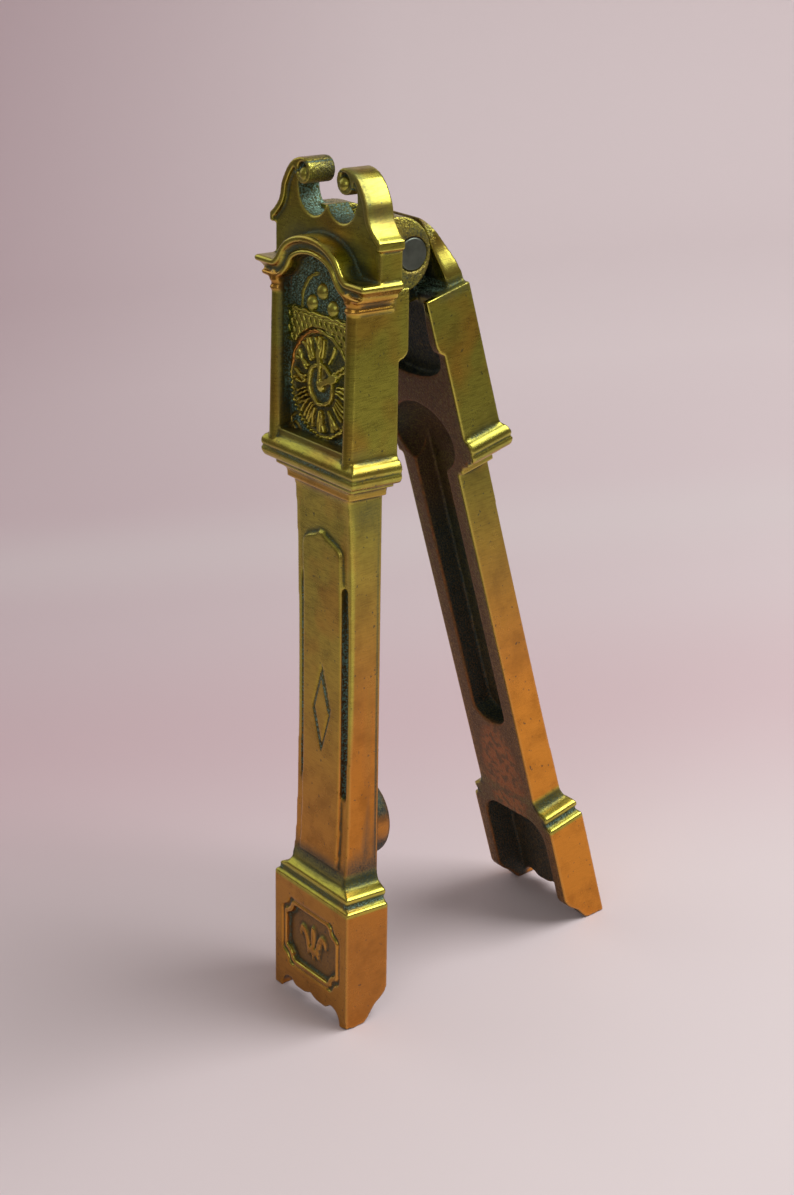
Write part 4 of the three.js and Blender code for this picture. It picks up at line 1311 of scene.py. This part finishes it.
@dataclass
class Studio:
    """Pale card sweep, soft light from behind on the right, two weak fills, and the photograph's camera.

    Attributes:
        position: Camera's place in metres.
        forward: Direction that it looks in.
        right: Direction to the right of its picture.
        focal: Focal length in pixels of the photograph.
        floor: Distances of the card's near edge, and of where it starts to widen, in metres.
        behind: Distance of the sweep's bend behind the object.
        bend: Radius of the bend.
        wall: Height of the sweep's wall.
        flare: How much wider the card is at the bend than at the object.
        sides: How far the card reaches to the right and to the left.
        table: Half of the table's side, and how far it lies below the card; its dark top is painted shade
            that stands in for the dim room.
        lamps: Window behind on the right, and the fills on the right and on the left.
        sky: Colours of the room's light, low and high.
        glow: Strength of the room's light.
    """

    position: Triple = (0.27366, -0.19039, 0.20874)
    forward: Triple = (-0.7558, 0.5168, -0.4020)
    right: Triple = (0.5897, 0.8042, -0.0747)
    focal: float = 2378.5
    floor: tuple[float, float] = (-0.4, 0.2)
    behind: float = 0.4
    bend: float = 0.14
    wall: float = 0.5
    flare: float = 1.25
    sides: tuple[float, float] = (0.18, 0.29)
    table: tuple[float, float] = (1.5, 0.002)
    lamps: tuple[Lamp, ...] = (
        Lamp("window", (0.39, 0.52, 0.74), 0.75, 0.55, 5.2),
        Lamp("fill", (0.55, -0.75, 0.6), 1.0, 0.5, 0.85),
        Lamp("bounce", (-0.8, -0.3, 0.45), 0.9, 0.6, 0.7),
    )
    sky: tuple[str, str] = ("a08488", "c6c3bd")
    glow: float = 0.46

    def build(self, card: Material, top: Material) -> None:
        """Sets up camera, sweep, table, lamps and world.

        Args:
            card: Card of the sweep.
            top: Dim table top that the card lies on.
        """
        self._camera()
        self._sweep(card)
        self._table(top)
        for lamp in self.lamps:
            lamp.hang()
        self._room()
        bpy.context.scene.view_settings.view_transform = "Standard"

    def _room(self) -> None:
        """Lights the scene softly from all round, pinker from below."""
        world = bpy.data.worlds.new("room")
        world.use_nodes = True
        tree = world.node_tree
        tree.nodes.clear()
        ray = add_node(tree, "ShaderNodeTexCoord").outputs["Generated"]
        up = add_node(tree, "ShaderNodeSeparateXYZ", {0: ray}).outputs["Z"]
        share = add_node(tree, "ShaderNodeMapRange", {
            "Value": up, "From Min": -0.2, "From Max": 0.9}).outputs[0]
        low, high = (linear(code) for code in self.sky)
        sky = add_node(tree, "ShaderNodeMix", {"Factor": share, "A": low, "B": high}, data_type="RGBA")
        light = add_node(tree, "ShaderNodeBackground", {
            "Color": sky.outputs["Result"], "Strength": self.glow})
        add_node(tree, "ShaderNodeOutputWorld", {"Surface": light.outputs[0]})
        bpy.context.scene.world = world

    def _camera(self) -> None:
        """Places the camera that was fitted to the photograph."""
        data = bpy.data.cameras.new("camera")
        data.sensor_width = 36.0
        data.lens = self.focal / PHOTO_HEIGHT * data.sensor_width
        data.clip_start = 0.01
        forward = unit(self.forward)
        right = unit(np.array(self.right) - forward * np.dot(forward, self.right))
        camera = linked("camera", data)
        camera.matrix_world = posed([right, np.cross(right, forward), -forward], self.position)
        bpy.context.scene.camera = camera

    def _sweep(self, card: Material) -> None:
        """Carries a profile of floor, bend and wall along a straight path across the view.

        Args:
            card: Card of the sweep.
        """
        turn = np.linspace(0.0, math.pi / 2, 24)
        end = self.behind + self.bend
        run = np.concatenate([self.floor, self.behind + self.bend * np.sin(turn), [end]])
        rise = np.concatenate([[0.0, 0.0], self.bend * (1.0 - np.cos(turn)), [self.wall]])
        width = np.interp(run, (self.floor[1], self.behind), (1.0, self.flare))
        flat = unit((self.forward[0], self.forward[1], 0.0))
        aside = np.array([-flat[1], flat[0], 0.0])
        path = np.linspace(-self.sides[0], self.sides[1], 15)
        profile = run[:, None] * flat + np.stack([0.0 * rise, 0.0 * rise, rise], axis=1)
        points = (profile[:, None] + width[:, None, None] * path[None, :, None] * aside).reshape(-1, 3)
        sweep = new_piece("sweep", points, grid_faces(len(run), len(path))[:, ::-1].tolist())
        sweep.data.materials.append(card)

    def _table(self, material: Material) -> None:
        """Lays a wide dark top just under the card, painted shade that stands in for the dim room around the
        set.

        Args:
            material: Finish of the top.
        """
        half, drop = self.table
        side = np.linspace(-half, half, 9)
        x, y = np.meshgrid(side, side)
        points = np.stack([x, y, np.full_like(x, -drop)], axis=-1).reshape(-1, 3)
        top = new_piece("table", points, grid_faces(len(side), len(side)).tolist())
        top.data.materials.append(material)


def rubbed(centre: Triple, radii: Triple, edge: float, *cleared: Mark) -> list[Stain]:
    """Stains that paint a highlight on a place: the bright-edge mark full, and other marks cleared."""
    amounts = {WORN: 1.0, **{mark: -1.0 for mark in cleared}}
    return [Stain(mark, centre, radii, amount, edge, power=4.0) for mark, amount in amounts.items()]


def both_sides(*stains: Stain) -> list[Stain]:
    """Lays the stains of an arm's +X side on both sides, one whole side after the other."""
    return [replace(stain, centre=(side * stain.centre[0], *stain.centre[1:]))
            for side in SIDES for stain in stains]


def paired_stains() -> list[Stain]:
    """Gives the front arm's stains that lie alike on both sides."""
    return both_sides(
        Stain(HOLLOW, (3.5, 6.5, 8.3), (3.85, 60.0, 3.85), 1.0, 0.02, core=0.93),
        Stain(TARNISH, (5.2, 9.0, 10.6), (1.4, 0.5, 1.4), 0.95, 0.15),
        Stain(HOLLOW, (8.3, 9.6, -1.8), (2.6, 1.6, 1.6), 0.8, 0.5),
        Stain(TARNISH, (6.5, 9.0, 0.2), (4.0, 0.7, 2.6), 0.6, 0.5),
        # Darker side walls of the dial recess: painted shade.
        Stain(TARNISH, (8.0, 9.9, -16.5), (0.9, 1.7, 11.5), 0.6, 0.2, power=6.0),
        Stain(HOLLOW, (8.2, 9.7, -15.0), (0.7, 1.3, 11.0), 0.84, 0.2, power=6.0),
        Stain(HOLLOW, (5.4, 8.4, -67.0), (0.75, 0.8, 17.3), 0.9, 0.1, power=8.0),
        # Darker under the hood base moulding: painted shade, with patina.
        Stain(TARNISH, (7.0, 6.0, -37.6), (0.8, 4.5, 2.4), 0.55, 0.6),
        # Bright strip along the trunk's corner: painted highlight.
        *rubbed((6.55, 9.2, -54.0), (0.6, 0.8, 19.0), 0.3, TONED, TARNISH),
        Stain(TARNISH, (7.0, 6.0, -94.8), (1.2, 4.2, 2.4), 0.85, 0.6),
        Stain(TARNISH, (8.55, 0.0, -0.5), (0.7, 5.0, 6.0), 0.12, 0.3),
        Stain(TARNISH, (8.55, 0.5, -3.8), (0.7, 5.5, 3.0), 0.45, 0.5),
        Stain(HOLLOW, (8.55, 0.0, 1.0), (0.7, 3.0, 2.7), 0.6, 0.3),
        Stain(WORN, (8.55, -0.5, 4.4), (0.7, 5.0, 1.6), 0.8, 0.4),
        # Orange on the cornice: painted warm reflection, partly tone.
        Stain(TONED, (8.0, 9.6, -5.6), (6.0, 4.6, 1.5), 0.72, 0.3, power=4.0),
        Stain(TARNISH, (9.95, 6.0, -110.0), (0.6, 9.0, 9.0), 0.16, 0.2, power=4.0),
    )


def castings() -> tuple[Casting, Casting]:
    """Gives the two arms with their outlines' levels, faces and half widths, and their stains."""
    levels = (-120.0, -101.0, -100.9, -95.5, -35.0, -32.5, -28.0, -4.0, -3.9, 14.0)
    halves = (9.95, 9.95, 9.9, 7.0, 7.0, 11.5, 10.55, 10.55, 8.55, 8.55)
    mouldings = both_sides(
        Stain(HOLLOW, (9.0, 6.0, -99.3), (0.9, 9.0, 0.55), 0.95, 0.4, power=4.0),
        Stain(HOLLOW, (7.4, 6.0, -96.5), (0.9, 9.0, 0.8), 0.75, 0.4, power=4.0),
    )
    front = Casting(
        "front_casting", "front_arm", Body.FRONT, Slot.FRONT_BRASS, FRONT_FRAME,
        levels=levels, faces=(11.4, 11.4, 11.3, 9.2, 9.2, 12.0, 11.6, 11.0, 8.7, 8.7), halves=halves,
        inner=3.6, stains=(
            *paired_stains(),
            *mouldings,
            Stain(HOLLOW, (0.0, 9.3, -70.4), (2.4, 5.0, 7.1), 0.9, 0.04, core=0.8, power=1.0),
            Stain(HOLLOW, (0.0, 12.6, -30.75), (10.8, 1.2, 0.35), 0.85, 0.4, power=4.0),
            Stain(HOLLOW, (0.0, 11.5, -32.5), (9.8, 1.0, 0.4), 0.85, 0.4, power=4.0),
            # Darker foot of the dial recess: painted shade.
            Stain(TARNISH, (0.0, 10.4, -27.4), (11.0, 1.4, 0.9), 0.5, 0.3, power=6.0),
            Stain(TARNISH, (0.0, 9.8, -95.6), (8.5, 1.3, 1.9), 0.85, 0.5),
            Stain(HOLLOW, (0.0, 10.75, -99.3), (9.6, 0.7, 0.5), 0.9, 0.4, power=4.0),
            Stain(TARNISH, (0.0, 10.6, -109.3), (7.2, 0.3, 5.6), 0.55, 0.2, power=4.0),
            Stain(COPPER, (-3.5, 6.5, 8.3), (3.85, 60.0, 3.85), 0.26, 0.02, core=0.93),
            Stain(HOLLOW, (4.4, 5.5, 10.2), (2.8, 2.6, 2.8), 0.5, 0.3),
            Stain(TARNISH, (4.0, 6.2, 9.8), (2.8, 3.4, 2.8), 0.6, 0.5),
            Stain(COPPER, (4.4, 6.0, 10.6), (2.8, 3.4, 2.8), 0.25, 0.3),
            Stain(GRAIN, (4.4, 6.4, 10.6), (2.8, 3.4, 2.8), 1.0, 0.3),
            Stain(TARNISH, (-8.5, 9.4, 9.5), (4.5, 0.9, 5.0), 0.5, 0.5),
            # Darker outer face of the right scroll, where its curve turns from the light: painted shade.
            Stain(TARNISH, (-10.6, 7.5, 6.6), (1.6, 4.0, 2.0), 0.4, 0.6),
            # Orange on the hood base's lower edge: painted warm reflection, partly tone.
            Stain(TONED, (0.0, 6.0, -34.6), (12.0, 9.0, 1.0), 0.5, 0.5, power=4.0),
        ),
        dents=(
            *(Dent((11.0 * side, 7.0, 5.6), (4.0, 60.0, 2.8), (-0.5 * side, 0.0, 0.0)) for side in SIDES),
            Dent((-9.95, 11.4, -120.0), (1.6, 1.6, 1.6), (0.2, -0.25, 0.1)),
            Dent((9.3, 9.5, -97.4), (3.0, 6.0, 2.0), (-1.0, 0.0, -0.45)),
            Dent((9.3, 9.5, -99.5), (1.6, 6.0, 0.9), (0.5, 0.0, 0.0)),
        ))
    wall_side = ((2.6, (4.0, 60.0, 7.2), -1.3), (-5.4, (1.9, 60.0, 5.6), 0.7))
    back = Casting(
        "back_casting", "back_arm", Body.BACK, Slot.BACK_BRASS, BACK_FRAME,
        levels=levels, faces=(7.05, 7.05, 7.0, 5.7, 5.7, 7.6, 7.0, 7.0, 7.0, 5.0), halves=halves,
        inner=0.1, stains=(
            *mouldings,
            Stain(TARNISH, (0.0, 0.0, -2.4), (7.9, 4.2, 5.0), 1.0, 0.06, power=8.0),
            Stain(HOLLOW, (0.0, 4.2, -5.8), (10.5, 3.0, 1.2), 1.0, 0.3, power=6.0),
            # Darker, earthy top of the back arm, where it turns from the light: painted shade.
            Stain(TARNISH, (0.0, 3.0, 4.0), (9.6, 4.0, 2.0), 0.8, 0.4),
            Stain(COPPER, (0.0, 3.0, 4.0), (9.6, 4.0, 2.0), 0.5, 0.4),
            Stain(TARNISH, (0.0, 3.4, -5.9), (9.4, 3.0, 0.7), 0.9, 0.4),
            Stain(COPPER, (0.0, 0.0, -93.0), (5.4, 1.6, 11.0), 1.0, 0.3),
            Stain(COPPER, (0.0, 2.0, -35.0), (7.5, 5.0, 11.0), 0.36, 0.4),
            Stain(TARNISH, (7.0, 3.5, -54.0), (0.8, 4.5, 5.5), 0.25, 0.5),
            # Bright side of the hinge wall: painted highlight, beside the dents that tilt it toward the
            # light.
            *both_sides(*rubbed(
                (8.6, 5.4, -2.0), (2.0, 2.0, 2.7), 0.25, GRAIN, TARNISH, HOLLOW)),
        ),
        dents=tuple(
            Dent((8.55 * side, 5.0, level), radii, (push * side, 0.0, 0.0))
            for side in SIDES for level, radii, push in wall_side
        ))
    return front, back


def main() -> None:
    """Builds the dressed nutcracker and its studio."""
    logging.basicConfig(level=logging.INFO, format="%(message)s")
    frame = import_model()
    # The table's dark card is painted shade that stands in for the dim room seen in the brass.
    Studio().build(PaperFinish().material(), PaperFinish("dim_table", "8d8583", "8d8583").material())
    front_brass = BrassFinish("polished_brass_front").material()
    back_brass = BrassFinish("polished_brass_back", upper="a8a444", lower="d68e36").material()
    front, back = castings()
    pieces = [
        front.build(frame, front_brass),
        back.build(frame, back_brass),
        DialRelief().build(frame, front_brass),
        Beads().build(frame, front_brass),
        HingePin().build(frame, SteelFinish().material()),
    ]
    for piece in pieces:
        LOG.info("%s: %d faces", piece.name, len(piece.data.polygons))


if __name__ == "__main__":
    main()
